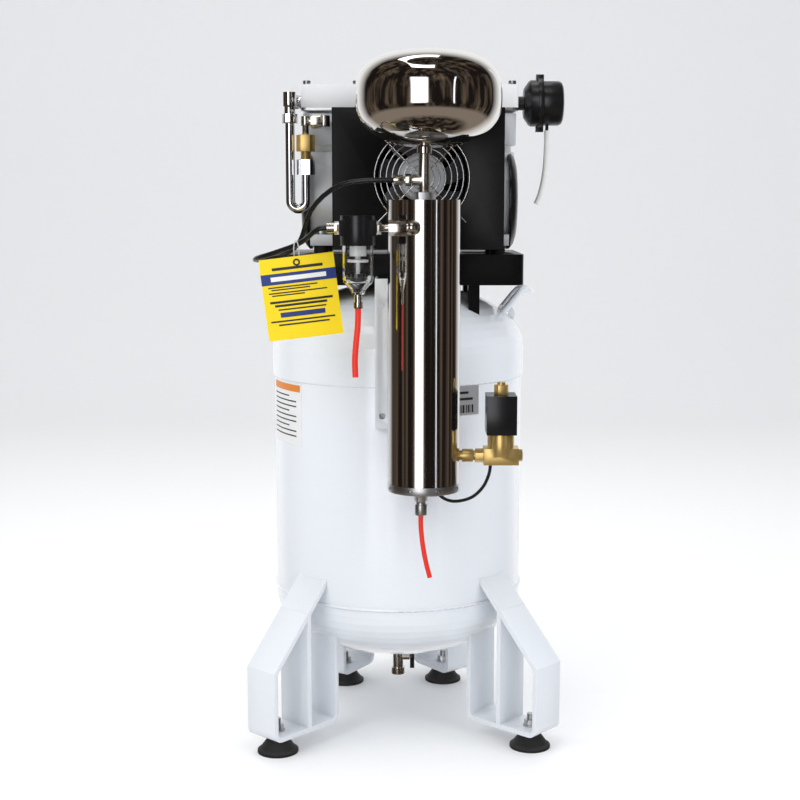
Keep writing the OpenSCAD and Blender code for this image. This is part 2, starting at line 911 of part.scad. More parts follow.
module column_caps() {
    color("silver") placed() translate([col_x, col_y, col_z]) {
        cylinder(r = col_r, h = cap_h);
        translate([0, 0, cap_h]) cylinder(r = col_r - col_wall, h = 8);
        translate([0, 0, col_h - 14]) cylinder(r = col_r - col_wall, h = 14);
    }
    color(brass) placed() translate([col_x, col_y, col_top]) hex(24, 9);
    color(nickel) placed() translate([28, col_y, col_z]) mirror([0, 0, 1]) {
        hex(14, 14);
        translate([0, 0, 14]) cylinder(r = 6, h = 4);
        translate([0, 0, 18]) cylinder(r = 7.5, h = 13);
    }
}

module desiccant() {
    color("white") placed() translate([col_x, col_y, col_z + cap_h + 8])
        cylinder(r = col_r - col_wall, h = col_h - cap_h - 8 - 14);
}

module purge_tee() {
    color(nickel) placed() translate([col_x, col_y, col_top + 9]) difference() {
        union() {
            cylinder(r = tee_r, h = dome_z - col_top - 9 - 6);
            translate([0, 0, 14]) rotate([0, -90, 0]) cylinder(r = tee_r, h = 14);
            translate([0, 0, 14]) rotate([0, -90, 0]) cylinder(r = 4, h = 30);
            translate([-15, 0, 14]) rotate([0, -90, 0]) hex(13, 7);
            translate([-25, 0, 14]) rotate([0, -90, 0]) cylinder(r = 6, h = 11);
        }
        translate([0, 0, 3]) cylinder(r = 3, h = dome_z - col_top - 9);
    }
}

// Outline of the purge tank: rounder below than above
function dome_quarter(r, h, n, from, to, steps) =
    [for (i = [0:steps]) let (a = from + (to - from) * i / steps)
        [r * pow(abs(cos(a)), 2 / n), sign(to + from) * h * pow(abs(sin(a)), 2 / n)]];

module dome_form(inset) {
    h = dome_h / 2 - inset;
    r = dome_r - inset;
    translate([0, 0, dome_z + dome_h / 2]) rotate_extrude($fn = 96)
        polygon(concat(dome_quarter(r, h, 2.3, -90, -0.001, 12),
            dome_quarter(r, h, 2.8, 0.001, 90, 12)));
}

module purge_tank() {
    color(chrome) placed() translate([col_x + 5, col_y, 0]) difference() {
        union() {
            dome_form(0);
            translate([-5, 0, dome_z - 6]) cylinder(r = 9, h = 14);
        }
        dome_form(dome_wall);
        translate([-5, 0, dome_z - 7]) cylinder(r = 3, h = 24);
    }
}

// Inlet filter beside the column

module at_filter() {
    translate([filter_x, filter_y, filter_z]) children();
}

bowl_top = -20;
bowl_len = 56;

module filter_head() {
    color(black) placed() at_filter() difference() {
        union() {
            translate([0, 0, bowl_top]) cylinder(r = bowl_r + 2, h = 34);
            translate([-21, -16, -9]) cube([42, 32, 18]);
        }
        translate([0, 0, bowl_top - 1]) cylinder(r = bowl_r - 4, h = 16);
        along_x(-22, 0, 0) cylinder(r = 4, h = 44);
    }
}

module filter_bowl() {
    color([0.8, 0.82, 0.85, 0.4]) placed() at_filter() translate([0, 0, bowl_top - bowl_len])
        difference() {
            rotate_extrude() polygon([[0, 0], [7, 0], [9, 5], [bowl_r - 1, 14],
                [bowl_r, 20], [bowl_r, bowl_len], [0, bowl_len]]);
            rotate_extrude() polygon([[0, 3], [6, 3], [7, 7], [bowl_r - 3, 16],
                [bowl_r - 2, 21], [bowl_r - 2, bowl_len + 1], [0, bowl_len + 1]]);
            translate([0, 0, -1]) cylinder(r = 3, h = 5);
        }
}

module filter_element() {
    color(white) placed() at_filter() {
        translate([0, 0, bowl_top - 12]) cylinder(r = 9.5, h = 27);
        translate([0, 0, bowl_top - 16]) cylinder(r = 3, h = 4);
        translate([0, 0, bowl_top - 19]) cylinder(r = 12, h = 3);
        translate([0, 0, bowl_top - 44]) cylinder(r = 2, h = 25);
    }
}

module filter_float() {
    color(black) placed() at_filter() translate([0, 0, bowl_top - 43]) difference() {
        cylinder(r = 9, h = 11);
        translate([0, 0, -1]) cylinder(r = 2 + fit, h = 13);
    }
}

module filter_fittings() {
    color(nickel) placed() at_filter() {
        translate([-21, 0, 0]) rotate([0, -90, 0]) {
            hex(13, 6);
            translate([0, 0, 6]) cylinder(r = 6, h = 8.5);
        }
        along_x(21, 0, 0) {
            hex(13, 6);
            translate([0, 0, 6]) cylinder(r = 4.5, h = 8);
            translate([0, 0, 14]) hex(16, 20);
            translate([0, 0, 34]) cylinder(r = 6.5, h = 8);
        }
        difference() {
            union() {
                translate([62, 0, 0]) sphere(8);
                translate([62, 0, 0]) rotate([-90, 0, 0]) cylinder(r = 8, h = 40);
            }
            translate([col_x - filter_x, col_y - filter_y, -20]) cylinder(r = col_r, h = 40);
        }
        translate([0, 0, bowl_top - bowl_len - 9]) cylinder(r = 4.5, h = 9);
        translate([0, 0, bowl_top - bowl_len - 16]) cylinder(r = 5.5, h = 7);
    }
}

module filter_drain_tube() {
    color("red") placed() tube(filter_drain_run, 3.5, 8, [0, 1, 0]);
}

module column_drain_tube() {
    color("red") placed() tube(column_drain_run, 3, 8, [0, 1, 0]);
}

// Purge solenoid at the column's lower right
coil_w = 36;
coil_h = 47;
body_w = 42;
body_h = 20;
neck_h = 17;
armature_r = 5;

module at_valve() {
    translate([valve_x, col_y, valve_z]) children();
}

module solenoid_valve() {
    color(brass) placed() at_valve() difference() {
        union() {
            translate([-body_w / 2, -13, -body_h / 2]) cube([body_w, 26, body_h]);
            cylinder(r = 16, h = body_h / 2 + neck_h);
            translate([0, 0, body_h / 2 + neck_h]) cylinder(r = 7, h = coil_h + 8);
            translate([0, 0, body_h / 2 + neck_h + coil_h]) hex(15, 12);
            translate([0, 0, body_h / 2 + neck_h + coil_h + 12]) cylinder(r = 5, h = 3);
            along_x(body_w / 2, 0, 0) hex(13, 5);
        }
        translate([0, 0, 5]) cylinder(r = armature_r + fit, h = body_h / 2 + neck_h + coil_h - 6);
    }
    color(nickel) placed() difference() {
        union() {
            along_x(col_x, col_y, valve_z) cylinder(r = 6, h = valve_x - body_w / 2 - col_x);
            along_x(valve_x - body_w / 2 - 10, col_y, valve_z) hex(15, 10);
            along_x(col_x + col_r + 3, col_y, valve_z) cylinder(r = 8, h = 13);
        }
        translate([col_x, col_y, col_z]) cylinder(r = col_r, h = col_h);
    }
}

module solenoid_coil() {
    color(black) placed() at_valve() difference() {
        translate([-coil_w / 2, -18, body_h / 2 + neck_h]) cube([coil_w, 40, coil_h]);
        translate([0, 0, body_h / 2 + neck_h - 1]) cylinder(r = 7, h = coil_h + 2);
    }
}

module solenoid_plunger() {
    color("silver") placed() at_valve() translate([0, 0, 6]) cylinder(r = armature_r, h = 40);
}

module solenoid_cable() {
    color(black) placed() tube(smooth(cable_run, 2), 2, 8, [0.3, 0.4, -1]);
}

module purge_hose() {
    color(black) placed() tube(smooth(hose_run, 3), 3, 8, [-0.3, 0.8, 0.6]);
}

// Outlet controls behind the tank, drawn about the outlet's axis with +Y outwards
block_y = tank_r + outlet_out + 2;
block_w = 34;
switch_w = 56;
switch_d = 66;
switch_h = 68;
lever_r = 2.5;
reg_y = block_y + block_w + 28;
reg_r = 20;
knob_len = 34;
coupler_len = 24;
gauge_r = 22;
gauge_d = 20;
gauge_x = 50;
safety_x = 44;

module at_outlet(x, y, z) {
    translate([x, y, outlet_z + z]) children();
}

module along_y(x, y, z) {
    at_outlet(x, y, z) rotate([-90, 0, 0]) children();
}

module manifold() {
    color(brass) placed() {
        along_y(0, tank_r, 0) cylinder(r = outlet_hole, h = block_y - tank_r);
        at_outlet(-block_w / 2, block_y, -block_w / 2) cube(block_w);
        along_y(0, block_y + block_w, 0) hex(17, reg_y - reg_r - block_y - block_w + 2);
        at_outlet(0, block_y + block_w / 2, block_w / 2) hex(19, 10);
        at_outlet(-gauge_x + gauge_r - 1, block_y + 17, 0) rotate([0, 90, 0])
            cylinder(r = 5, h = gauge_x - gauge_r - 14);
        at_outlet(0, block_y + 17, -block_w / 2 - 6) hex(15, 6);
    }
}

module pressure_switch() {
    color(black) placed() difference() {
        union() {
            at_outlet(-switch_w / 2, block_y - 8, block_w / 2 + 10)
                cube([switch_w, switch_d, switch_h]);
            at_outlet(-switch_w / 2 - 14, block_y + 17, block_w / 2 + 26) rotate([0, 90, 0])
                cylinder(r = 9, h = 15);
        }
        at_outlet(-switch_w / 2 - 15, block_y + 17, block_w / 2 + 26) rotate([0, 90, 0])
            cylinder(r = 4.5, h = 20);
        at_outlet(switch_w / 2 - 9, block_y + 25, block_w / 2 + 56) rotate([0, 90, 0])
            cylinder(r = lever_r + fit, h = 10);
    }
}

module switch_lever() {
    color("red") placed() at_outlet(0, block_y + 25, block_w / 2 + 56) {
        translate([switch_w / 2 - 8, 0, 0]) rotate([0, 90, 0]) cylinder(r = lever_r, h = 10);
        translate([switch_w / 2 + gap, 0, 0]) rotate([0, 90, 0]) cylinder(r = 8, h = 5);
        translate([switch_w / 2 + gap, -4, 0]) cube([5, 8, 26]);
    }
}

module regulator() {
    color("silver") placed() difference() {
        union() {
            at_outlet(0, reg_y, -22) cylinder(r = reg_r, h = 44);
            along_y(0, reg_y + reg_r - 3, 0) cylinder(r = 10, h = 6);
            at_outlet(reg_r - 3, reg_y, 0) rotate([0, 90, 0])
                cylinder(r = 5, h = gauge_x - gauge_r - reg_r + 4);
        }
        along_y(0, block_y + block_w, 0) hex(17, reg_y - reg_r - block_y - block_w + 2);
        along_y(0, reg_y, 0) cylinder(r = 4, h = reg_r + 10);
        at_outlet(0, reg_y, -23) cylinder(r = 4 + fit, h = 14);
    }
}

module regulator_knob() {
    color(black) placed() at_outlet(0, reg_y, -22 - gap) {
        translate([0, 0, 0]) cylinder(r = 4, h = 13);
        translate([0, 0, -knob_len]) difference() {
            cylinder(r = 18, h = knob_len);
            for (a = [0:30:330]) rotate(a) translate([19, 0, -1]) cylinder(r = 2.5, h = knob_len - 6);
        }
    }
}

module outlet_coupler() {
    color(brass) placed() along_y(0, reg_y + reg_r + 3, 0) difference() {
        union() {
            hex(19, 8);
            cylinder(r = 8, h = coupler_len);
        }
        translate([0, 0, -1]) cylinder(r = 3.6, h = coupler_len + 2);
    }
}

module coupler_sleeve() {
    color(nickel) placed() along_y(0, reg_y + reg_r + 3 + 8 + 3, 0) difference() {
        cylinder(r = 12, h = coupler_len - 12);
        translate([0, 0, -1]) cylinder(r = 8 + fit, h = coupler_len);
    }
}

module at_gauges() {
    along_y(-gauge_x, block_y + 7, 0) children();
    along_y(gauge_x, reg_y - gauge_d / 2, 0) children();
}

module gauge_cases() {
    color(black) placed() difference() {
        at_gauges() difference() {
            cylinder(r = gauge_r, h = gauge_d);
            translate([0, 0, 3]) cylinder(r = gauge_r - 2, h = gauge_d);
        }
        at_outlet(-gauge_x + gauge_r - 1, block_y + 17, 0) rotate([0, 90, 0]) cylinder(r = 5, h = 9);
        at_outlet(gauge_x - gauge_r - 4, reg_y, 0) rotate([0, 90, 0]) cylinder(r = 5, h = 5);
    }
}

module gauge_faces() {
    color("white") placed() at_gauges() {
        translate([0, 0, gauge_d - 7]) cylinder(r = gauge_r - 2, h = 1.5);
        translate([0, 0, gauge_d - 5.5]) cylinder(r = 2, h = 2);
        translate([0, 0, gauge_d - 4.5]) rotate(-125) translate([-1, -4, 0]) cube([2, 18, 0.8]);
    }
}

module gauge_lenses() {
    color([0.8, 0.9, 0.95, 0.3]) placed() at_gauges()
        translate([0, 0, gauge_d - 2.5]) cylinder(r = gauge_r - 2, h = 2);
}

module safety_valve() {
    color(brass) placed() difference() {
        union() {
            at_outlet(block_w / 2, block_y + 17, 0) rotate([0, 90, 0])
                cylinder(r = 6, h = safety_x - block_w / 2);
            at_outlet(safety_x, block_y + 17, -10) hex(17, 22);
            at_outlet(safety_x, block_y + 17, 12) cylinder(r = 7.5, h = 20);
        }
        at_outlet(safety_x, block_y + 17, 4) cylinder(r = 2 + fit, h = 30);
    }
}

module safety_ring() {
    color("silver") placed() at_outlet(safety_x, block_y + 17, 0) {
        translate([0, 0, 6]) cylinder(r = 2, h = 30);
        translate([0, 0, 45]) rotate([90, 0, 0]) rotate_extrude() translate([10, 0])
            circle(1.2, $fn = 16);
    }
}

// Tag and its tie, hanging from the hose
tag_w = 88;
tag_h = 96;
tag_t = 0.8;
tag_hole = [-118, -240, 623];
tag_lean = -6.8;
tie_r = 13;

module hang_tag() {
    color("gold") placed() translate(tag_hole) rotate([0, tag_lean, 0]) rotate([90, 0, 0])
        linear_extrude(tag_t, center = true) difference() {
            translate([-tag_w / 2, -tag_h + 7]) square([tag_w, tag_h]);
            circle(3);
        }
    color("silver") placed() along_x(tag_hole[0], tag_hole[1], tag_hole[2] + tie_r - 0.5)
        rotate_extrude() translate([tie_r, 0]) circle(1, $fn = 16);
}

// Pieces of one kind that stand apart share a sub-part

module legs() {
    leg_front_left();
    leg_front_right();
    leg_rear_left();
    leg_rear_right();
}

module rubber_feet() {
    foot_pads();
    pump_mounts();
}

module tank_brackets() {
    column_bracket();
    lifting_eye();
}

module deck_tray() {
    deck();
    deck_posts();
}

module crankcases() {
    crankcase_left();
    crankcase_right();
}

module crank_covers() {
    crank_cover_left();
    crank_cover_right();
}

module cylinders() {
    cylinder_left();
    cylinder_right();
}

module valve_plates() {
    valve_plate_left();
    valve_plate_right();
}

module heads() {
    head_left();
    head_right();
}

module pistons() {
    piston_left();
    piston_right();
}

module fasteners() {
    head_bolts();
    mount_bolts();
    foot_nuts();
}

module air_fittings() {
    filter_fittings();
    discharge_fitting();
}

module fan_shroud() {
    shroud();
    shroud_stays();
}

tank();
drain_valve();
drain_knob();
tank_handle();
tank_brackets();
legs();
rubber_feet();
foot_studs();
fasteners();
deck_tray();
crankcases();
crank_covers();
cylinders();
valve_plates();
heads();
pistons();
motor_shell();
motor_stator();
motor_shaft();
shaft_bearings();
fan_shroud();
fan_frame();
fan_rotor();
fan_guard();
intake_filter();
intake_cap();
intake_tube();
discharge_pipe();
discharge_valve();
dryer_column();
column_caps();
desiccant();
purge_tee();
purge_tank();
filter_head();
filter_bowl();
filter_element();
air_fittings();
filter_drain_tube();
column_drain_tube();
solenoid_valve();
solenoid_coil();
solenoid_plunger();
solenoid_cable();
purge_hose();
hang_tag();
discharge_elbow();
filter_float();
manifold();
pressure_switch();
switch_lever();
regulator();
regulator_knob();
outlet_coupler();
coupler_sleeve();
gauge_cases();
gauge_faces();
gauge_lenses();
safety_valve();
safety_ring();
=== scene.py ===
"""Finishes, fine pieces and studio for the upright twin-cylinder compressor."""

import json
from math import cos, pi, radians, sin

import bmesh
import bpy
from bpy.props import FloatProperty, FloatVectorProperty, IntProperty, PointerProperty
from mathutils import Matrix, Vector


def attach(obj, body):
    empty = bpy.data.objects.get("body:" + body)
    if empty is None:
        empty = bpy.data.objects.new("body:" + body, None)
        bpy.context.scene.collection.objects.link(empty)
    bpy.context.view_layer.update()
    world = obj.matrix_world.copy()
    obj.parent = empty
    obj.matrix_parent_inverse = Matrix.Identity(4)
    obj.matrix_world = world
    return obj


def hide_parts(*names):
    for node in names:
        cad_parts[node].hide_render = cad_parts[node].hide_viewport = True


bl_info = {
    "name": "Upright Air Compressor",
    "version": (1, 0, 0),
    "blender": (4, 5, 0),
    "location": "View3D > Sidebar > Compressor",
    "description": "Dresses the compressor's frame with finishes and fine pieces",
    "category": "Object",
}

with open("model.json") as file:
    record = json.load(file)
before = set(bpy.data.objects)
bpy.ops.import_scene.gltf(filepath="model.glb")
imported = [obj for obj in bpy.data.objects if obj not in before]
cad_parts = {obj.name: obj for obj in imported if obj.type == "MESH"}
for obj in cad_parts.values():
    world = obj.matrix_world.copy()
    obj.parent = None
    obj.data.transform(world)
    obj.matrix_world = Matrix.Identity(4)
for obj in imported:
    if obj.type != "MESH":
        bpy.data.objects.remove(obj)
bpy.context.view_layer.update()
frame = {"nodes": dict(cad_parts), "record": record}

# The tank's axis in the row frame, in metres; every size below is in millimetres from it
AXIS = Vector((-0.013, 0.004, 0.0))
TANK_R = 165
COLUMN = Vector((31, -215.5, 348))
COLUMN_R = 43.5
DOME = Vector((36, -215.5, 755))
DOME_R = 86
DOME_H = 112
DOME_LOWER = 2.3
DOME_UPPER = 2.8
FAN = Vector((30, -107, 723))
TAG_HOLE = Vector((-118, -240, 623))
TAG_LEAN = radians(-6.8)

HOSE_RUN = [
    (-5, -215.5, 718), (-20, -215.5, 718), (-42, -214, 717), (-66, -209, 713), (-88, -200, 700),
    (-104, -190, 682), (-112, -180, 662), (-120, -168, 643), (-136, -160, 630), (-156, -164, 624),
    (-170, -182, 623), (-168, -206, 626), (-152, -224, 631), (-134, -234, 637), (-118, -240, 643),
    (-106, -250, 650), (-98, -261, 657), (-90, -267, 662), (-81, -267.5, 663),
]
BREATHER_RUN = [
    (196, 0, 786), (196, 0, 772), (195.5, 0, 755), (194.5, 0, 737), (192, 0, 719), (188, 0, 702),
    (183, 0, 690),
]
FILTER_DRAIN_RUN = [
    (-45.5, -267.5, 571), (-46, -267, 552), (-48, -267, 532), (-49.5, -267, 511), (-49, -267, 491),
]
COLUMN_DRAIN_RUN = [
    (28, -215.5, 317), (28, -215.5, 303), (30, -215.5, 282), (34, -215.5, 259), (39, -215.5, 239),
]
CABLE_RUN = [
    (112, -215, 380), (110, -214, 366), (103, -211, 350), (91, -205, 337), (76, -196, 330),
    (63, -184, 328), (52.5, -174, 332), (47.5, -167, 340), (47, -165.8, 350),
]
HANDLE_RUN = [
    (121, -26, 520), (130, -26, 538), (144, -26, 555), (158, -26, 572), (166, -22, 578),
    (174, -12, 576), (176, 0, 575), (174, 12, 576), (166, 22, 578), (158, 26, 572),
    (144, 26, 555), (130, 26, 538), (121, 26, 520),
]


def at(x, y, z):
    """A point given in millimetres from the tank's axis, in the row frame."""
    return Vector((x, y, z)) / 1000 + AXIS


# Node groups that several finishes share


def new_group(name, inputs, outputs):
    tree = bpy.data.node_groups.new(name, "ShaderNodeTree")
    for label, value in inputs:
        socket = tree.interface.new_socket(label, in_out="INPUT", socket_type="NodeSocketFloat")
        socket.default_value = value
    for label in outputs:
        tree.interface.new_socket(label, in_out="OUTPUT", socket_type="NodeSocketFloat")
    source = tree.nodes.new("NodeGroupInput")
    sink = tree.nodes.new("NodeGroupOutput")
    return tree, source, sink


def ranged(tree, value, low, high, to_low, to_high):
    node = tree.nodes.new("ShaderNodeMapRange")
    node.inputs["From Min"].default_value = low
    node.inputs["From Max"].default_value = high
    node.inputs["To Min"].default_value = to_low
    node.inputs["To Max"].default_value = to_high
    tree.links.new(value, node.inputs["Value"])
    return node.outputs["Result"]


def object_noise(tree, scale, detail=3.0, stretch=(1, 1, 1)):
    coords = tree.nodes.new("ShaderNodeTexCoord")
    mapping = tree.nodes.new("ShaderNodeMapping")
    mapping.inputs["Scale"].default_value = stretch
    noise = tree.nodes.new("ShaderNodeTexNoise")
    noise.inputs["Detail"].default_value = detail
    if isinstance(scale, (int, float)):
        noise.inputs["Scale"].default_value = scale
    else:
        tree.links.new(scale, noise.inputs["Scale"])
    tree.links.new(coords.outputs["Object"], mapping.inputs["Vector"])
    tree.links.new(mapping.outputs["Vector"], noise.inputs["Vector"])
    return noise.outputs["Fac"]


def grain_group():
    """Fine surface texture: orange peel, casting skin or moulded grain."""
    tree, source, sink = new_group("Surface grain", [("Scale", 800.0)], ["Height", "Tone"])
    fine = object_noise(tree, source.outputs["Scale"], 2.0)
    tree.links.new(fine, sink.inputs["Height"])
    tree.links.new(ranged(tree, fine, 0.3, 0.7, 0.0, 1.0), sink.inputs["Tone"])
    return tree


def marks_group():
    """Handling marks: soft smears that change the gloss."""
    tree, source, sink = new_group("Handling marks", [("Scale", 14.0)], ["Mask"])
    broad = object_noise(tree, source.outputs["Scale"], 5.0, (1, 1, 0.6))
    tree.links.new(ranged(tree, broad, 0.42, 0.66, 0.0, 1.0), sink.inputs["Mask"])
    return tree


def dust_group():
    """Dust that settles on faces that look up."""
    tree, source, sink = new_group("Settled dust", [("Amount", 0.3)], ["Mask"])
    geometry = tree.nodes.new("ShaderNodeNewGeometry")
    split = tree.nodes.new("ShaderNodeSeparateXYZ")
    tree.links.new(geometry.outputs["Normal"], split.inputs["Vector"])
    upward = ranged(tree, split.outputs["Z"], 0.35, 1.0, 0.0, 1.0)
    patches = ranged(tree, object_noise(tree, 45.0, 6.0), 0.35, 0.7, 0.2, 1.0)
    both = tree.nodes.new("ShaderNodeMath")
    both.operation = "MULTIPLY"
    tree.links.new(upward, both.inputs[0])
    tree.links.new(patches, both.inputs[1])
    scaled = tree.nodes.new("ShaderNodeMath")
    scaled.operation = "MULTIPLY"
    tree.links.new(both.outputs[0], scaled.inputs[0])
    tree.links.new(source.outputs["Amount"], scaled.inputs[1])
    tree.links.new(scaled.outputs[0], sink.inputs["Mask"])
    return tree


def lines_group():
    """Fine drawn or turned lines along one direction."""
    tree, source, sink = new_group("Drawn lines", [("Scale", 300.0)], ["Height"])
    lines = object_noise(tree, source.outputs["Scale"], 3.0, (1, 1, 0.02))
    tree.links.new(lines, sink.inputs["Height"])
    return tree


GROUPS = {}


def group_node(tree, name, **values):
    builders = {
        "grain": grain_group, "marks": marks_group, "dust": dust_group, "lines": lines_group,
    }
    if name not in GROUPS:
        GROUPS[name] = builders[name]()
    node = tree.nodes.new("ShaderNodeGroup")
    node.node_tree = GROUPS[name]
    for label, value in values.items():
        node.inputs[label].default_value = value
    return node


def colour_mix(tree, mask, first, second):
    node = tree.nodes.new("ShaderNodeMix")
    node.data_type = "RGBA"
    tree.links.new(mask, node.inputs["Factor"])
    colours = [s for s in node.inputs if s.type == "RGBA"]
    for socket, value in zip(colours, (first, second)):
        if isinstance(value, bpy.types.NodeSocket):
            tree.links.new(value, socket)
        else:
            socket.default_value = (*value, 1.0)
    return next(s for s in node.outputs if s.type == "RGBA")


FINISHES = {}


def finish(name, colour, roughness, metallic=0.0, grain=900.0, depth=0.02, marks=0.08,
           dust=0.12, shade=0.86, lines=0.0, coat=0.0, transmission=0.0, ior=1.5, sheen=0.0):
    """A painted, plated, moulded or cast finish with grain, marks and settled dust."""
    if name in FINISHES:
        return FINISHES[name]
    material = bpy.data.materials.new(name)
    material.use_nodes = True
    tree = material.node_tree
    shader = tree.nodes["Principled BSDF"]
    shader.inputs["Metallic"].default_value = metallic
    shader.inputs["IOR"].default_value = ior
    if coat:
        shader.inputs["Coat Weight"].default_value = coat
        shader.inputs["Coat Roughness"].default_value = 0.08
    if transmission:
        shader.inputs["Transmission Weight"].default_value = transmission
    if sheen:
        shader.inputs["Sheen Weight"].default_value = sheen
    skin = group_node(tree, "grain", Scale=grain)
    smears = group_node(tree, "marks", Scale=14.0)
    darker = tuple(c * shade for c in colour)
    base = colour_mix(tree, skin.outputs["Tone"], darker, colour)
    if dust:
        settled = group_node(tree, "dust", Amount=dust)
        base = colour_mix(tree, settled.outputs["Mask"], base, (0.55, 0.53, 0.50))
    tree.links.new(base, shader.inputs["Base Color"])
    gloss = ranged(tree, smears.outputs["Mask"], 0.0, 1.0, roughness, roughness + marks)
    tree.links.new(gloss, shader.inputs["Roughness"])
    bump = tree.nodes.new("ShaderNodeBump")
    bump.inputs["Strength"].default_value = 0.5
    bump.inputs["Distance"].default_value = depth / 1000
    height = skin.outputs["Height"]
    if lines:
        height = group_node(tree, "lines", Scale=lines).outputs["Height"]
    tree.links.new(height, bump.inputs["Height"])
    tree.links.new(bump.outputs["Normal"], shader.inputs["Normal"])
    FINISHES[name] = material
    return material


def make_finishes():
    looks = bpy.context.scene.compressor_looks
    white = tuple(looks.tank_white)
    finish("tank_white", white, 0.16, grain=260.0, depth=0.05, marks=0.08, dust=0.05, shade=0.985,
           coat=0.4)
    finish("pump_grey", (0.66, 0.68, 0.70), 0.42, metallic=0.25, grain=1400.0, depth=0.10,
           dust=0.15, shade=0.9)
    finish("head_white", (0.80, 0.81, 0.82), 0.34, grain=900.0, depth=0.05, dust=0.08, shade=0.96)
    finish("black_paint", (0.005, 0.005, 0.0055), 0.30, grain=420.0, depth=0.05, dust=0.02,
           shade=0.6, ior=1.28)
    finish("black_plastic", (0.008, 0.008, 0.009), 0.26, grain=1500.0, depth=0.04, dust=0.03,
           shade=0.7)
    finish("rubber", (0.014, 0.014, 0.014), 0.62, grain=700.0, depth=0.08, dust=0.06, shade=0.7)
    finish("black_hose", (0.010, 0.010, 0.011), 0.25, grain=900.0, depth=0.02, dust=0.0, shade=0.8)
    finish("steel", (0.60, 0.60, 0.60), 0.28, metallic=1.0, grain=1200.0, depth=0.02, dust=0.04)
    finish("nickel", (0.74, 0.70, 0.62), 0.17, metallic=1.0, grain=900.0, depth=0.02, dust=0.02)
    finish("chrome", (0.84, 0.85, 0.87), 0.09, metallic=1.0, grain=700.0, depth=0.01, marks=0.05,
           dust=0.0, shade=0.97)
    finish("polished_steel", (0.80, 0.78, 0.75), 0.035, metallic=1.0, grain=260.0, depth=0.004,
           marks=0.03, dust=0.0, shade=0.985)
    finish("column_steel", (0.74, 0.71, 0.68), 0.07, metallic=1.0, depth=0.006, marks=0.04,
           dust=0.0, shade=0.97, lines=260.0)
    finish("aluminium", (0.74, 0.75, 0.76), 0.30, metallic=1.0, grain=1300.0, depth=0.03)
    finish("brass", (0.80, 0.56, 0.20), 0.30, metallic=0.8, grain=900.0, depth=0.03, dust=0.03,
           shade=0.84)
    finish("clear_plastic", (0.95, 0.96, 0.97), 0.04, grain=500.0, depth=0.004, marks=0.04,
           dust=0.0, shade=0.99, transmission=1.0, ior=1.3)
    finish("white_plastic", (0.80, 0.80, 0.77), 0.42, grain=900.0, depth=0.03, dust=0.0)
    finish("milky_tube", (0.78, 0.79, 0.76), 0.24, grain=600.0, depth=0.01, dust=0.0, shade=0.96)
    finish("red_plastic", tuple(looks.tube_red), 0.20, grain=700.0, depth=0.01, dust=0.0,
           shade=0.92)
    finish("stator_iron", (0.20, 0.18, 0.17), 0.5, metallic=0.6, grain=500.0, depth=0.08)
    finish("grey_plastic", (0.50, 0.52, 0.54), 0.26, grain=1100.0, depth=0.03, dust=0.02,
           shade=0.9)
    finish("blade_plastic", (0.05, 0.052, 0.056), 0.30, grain=1100.0, depth=0.03, dust=0.04,
           shade=0.85)
    finish("tag_card", tuple(looks.tag_yellow), 0.36, grain=520.0, depth=0.01, dust=0.0,
           shade=0.965)
    finish("ink_blue", (0.012, 0.035, 0.20), 0.34, grain=600.0, depth=0.005, dust=0.0)
    finish("ink_black", (0.02, 0.02, 0.02), 0.40, grain=900.0, depth=0.005, dust=0.0)
    finish("ink_white", (0.85, 0.85, 0.82), 0.40, grain=900.0, depth=0.005, dust=0.0, shade=0.97)
    finish("ink_orange", (0.78, 0.25, 0.04), 0.38, grain=700.0, depth=0.005, dust=0.0)
    finish("label_paper", (0.80, 0.80, 0.80), 0.35, grain=700.0, depth=0.01, dust=0.0, shade=0.97)
    finish("label_foil", (0.62, 0.63, 0.65), 0.33, metallic=0.5, grain=900.0, depth=0.01, dust=0.0)
    finish("tie_string", (0.66, 0.66, 0.62), 0.6, grain=1500.0, depth=0.1, dust=0.0)
    finish("floor", (0.96, 0.96, 0.96), 0.55, grain=40.0, depth=0.05, marks=0.05, dust=0.0,
           shade=0.99)


# Makers of shapes


def place_piece(obj, body="frame", replaces=()):
    if obj.name not in bpy.context.scene.collection.objects:
        bpy.context.scene.collection.objects.link(obj)
    if replaces:
        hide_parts(*replaces)
    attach(obj, body)
    return obj


def mesh_piece(name, shape, material, body="frame", replaces=(), smooth=True):
    """Turns a bmesh, in metres in the row frame, into a finished piece."""
    mesh = bpy.data.meshes.new(name)
    bmesh.ops.recalc_face_normals(shape, faces=shape.faces)
    shape.to_mesh(mesh)
    shape.free()
    mesh.materials.append(FINISHES[material])
    if smooth:
        mesh.polygons.foreach_set("use_smooth", [True] * len(mesh.polygons))
        mesh.set_sharp_from_angle(angle=radians(32))
    return place_piece(bpy.data.objects.new(name, mesh), body, replaces)


def smooth_run(points, steps):
    """Points on a smooth run through the given ones."""
    points = [Vector(p) for p in points]
    last = len(points) - 1
    run = []
    for i in range(last):
        a, b, c, d = (points[max(0, min(last, i + k))] for k in (-1, 0, 1, 2))
        for s in range(steps):
            t = s / steps
            run.append(0.5 * (2 * b + (c - a) * t + (2 * a - 5 * b + 4 * c - d) * t * t
                              + (3 * b - a - 3 * c + d) * t ** 3))
    run.append(points[last])
    return run


def line_piece(name, run, diameter, material, body="frame", replaces=(), closed=False):
    """A round rod, wire or tube along a run of points in millimetres."""
    curve = bpy.data.curves.new(name, "CURVE")
    curve.dimensions = "3D"
    curve.bevel_depth = diameter / 2000
    curve.bevel_resolution = 5
    curve.use_fill_caps = True
    spline = curve.splines.new("POLY")
    spline.points.add(len(run) - 1)
    for point, place in zip(spline.points, run):
        point.co = (*at(*place), 1.0)
    spline.use_cyclic_u = closed
    spline.use_smooth = True
    curve.materials.append(FINISHES[material])
    return place_piece(bpy.data.objects.new(name, curve), body, replaces)


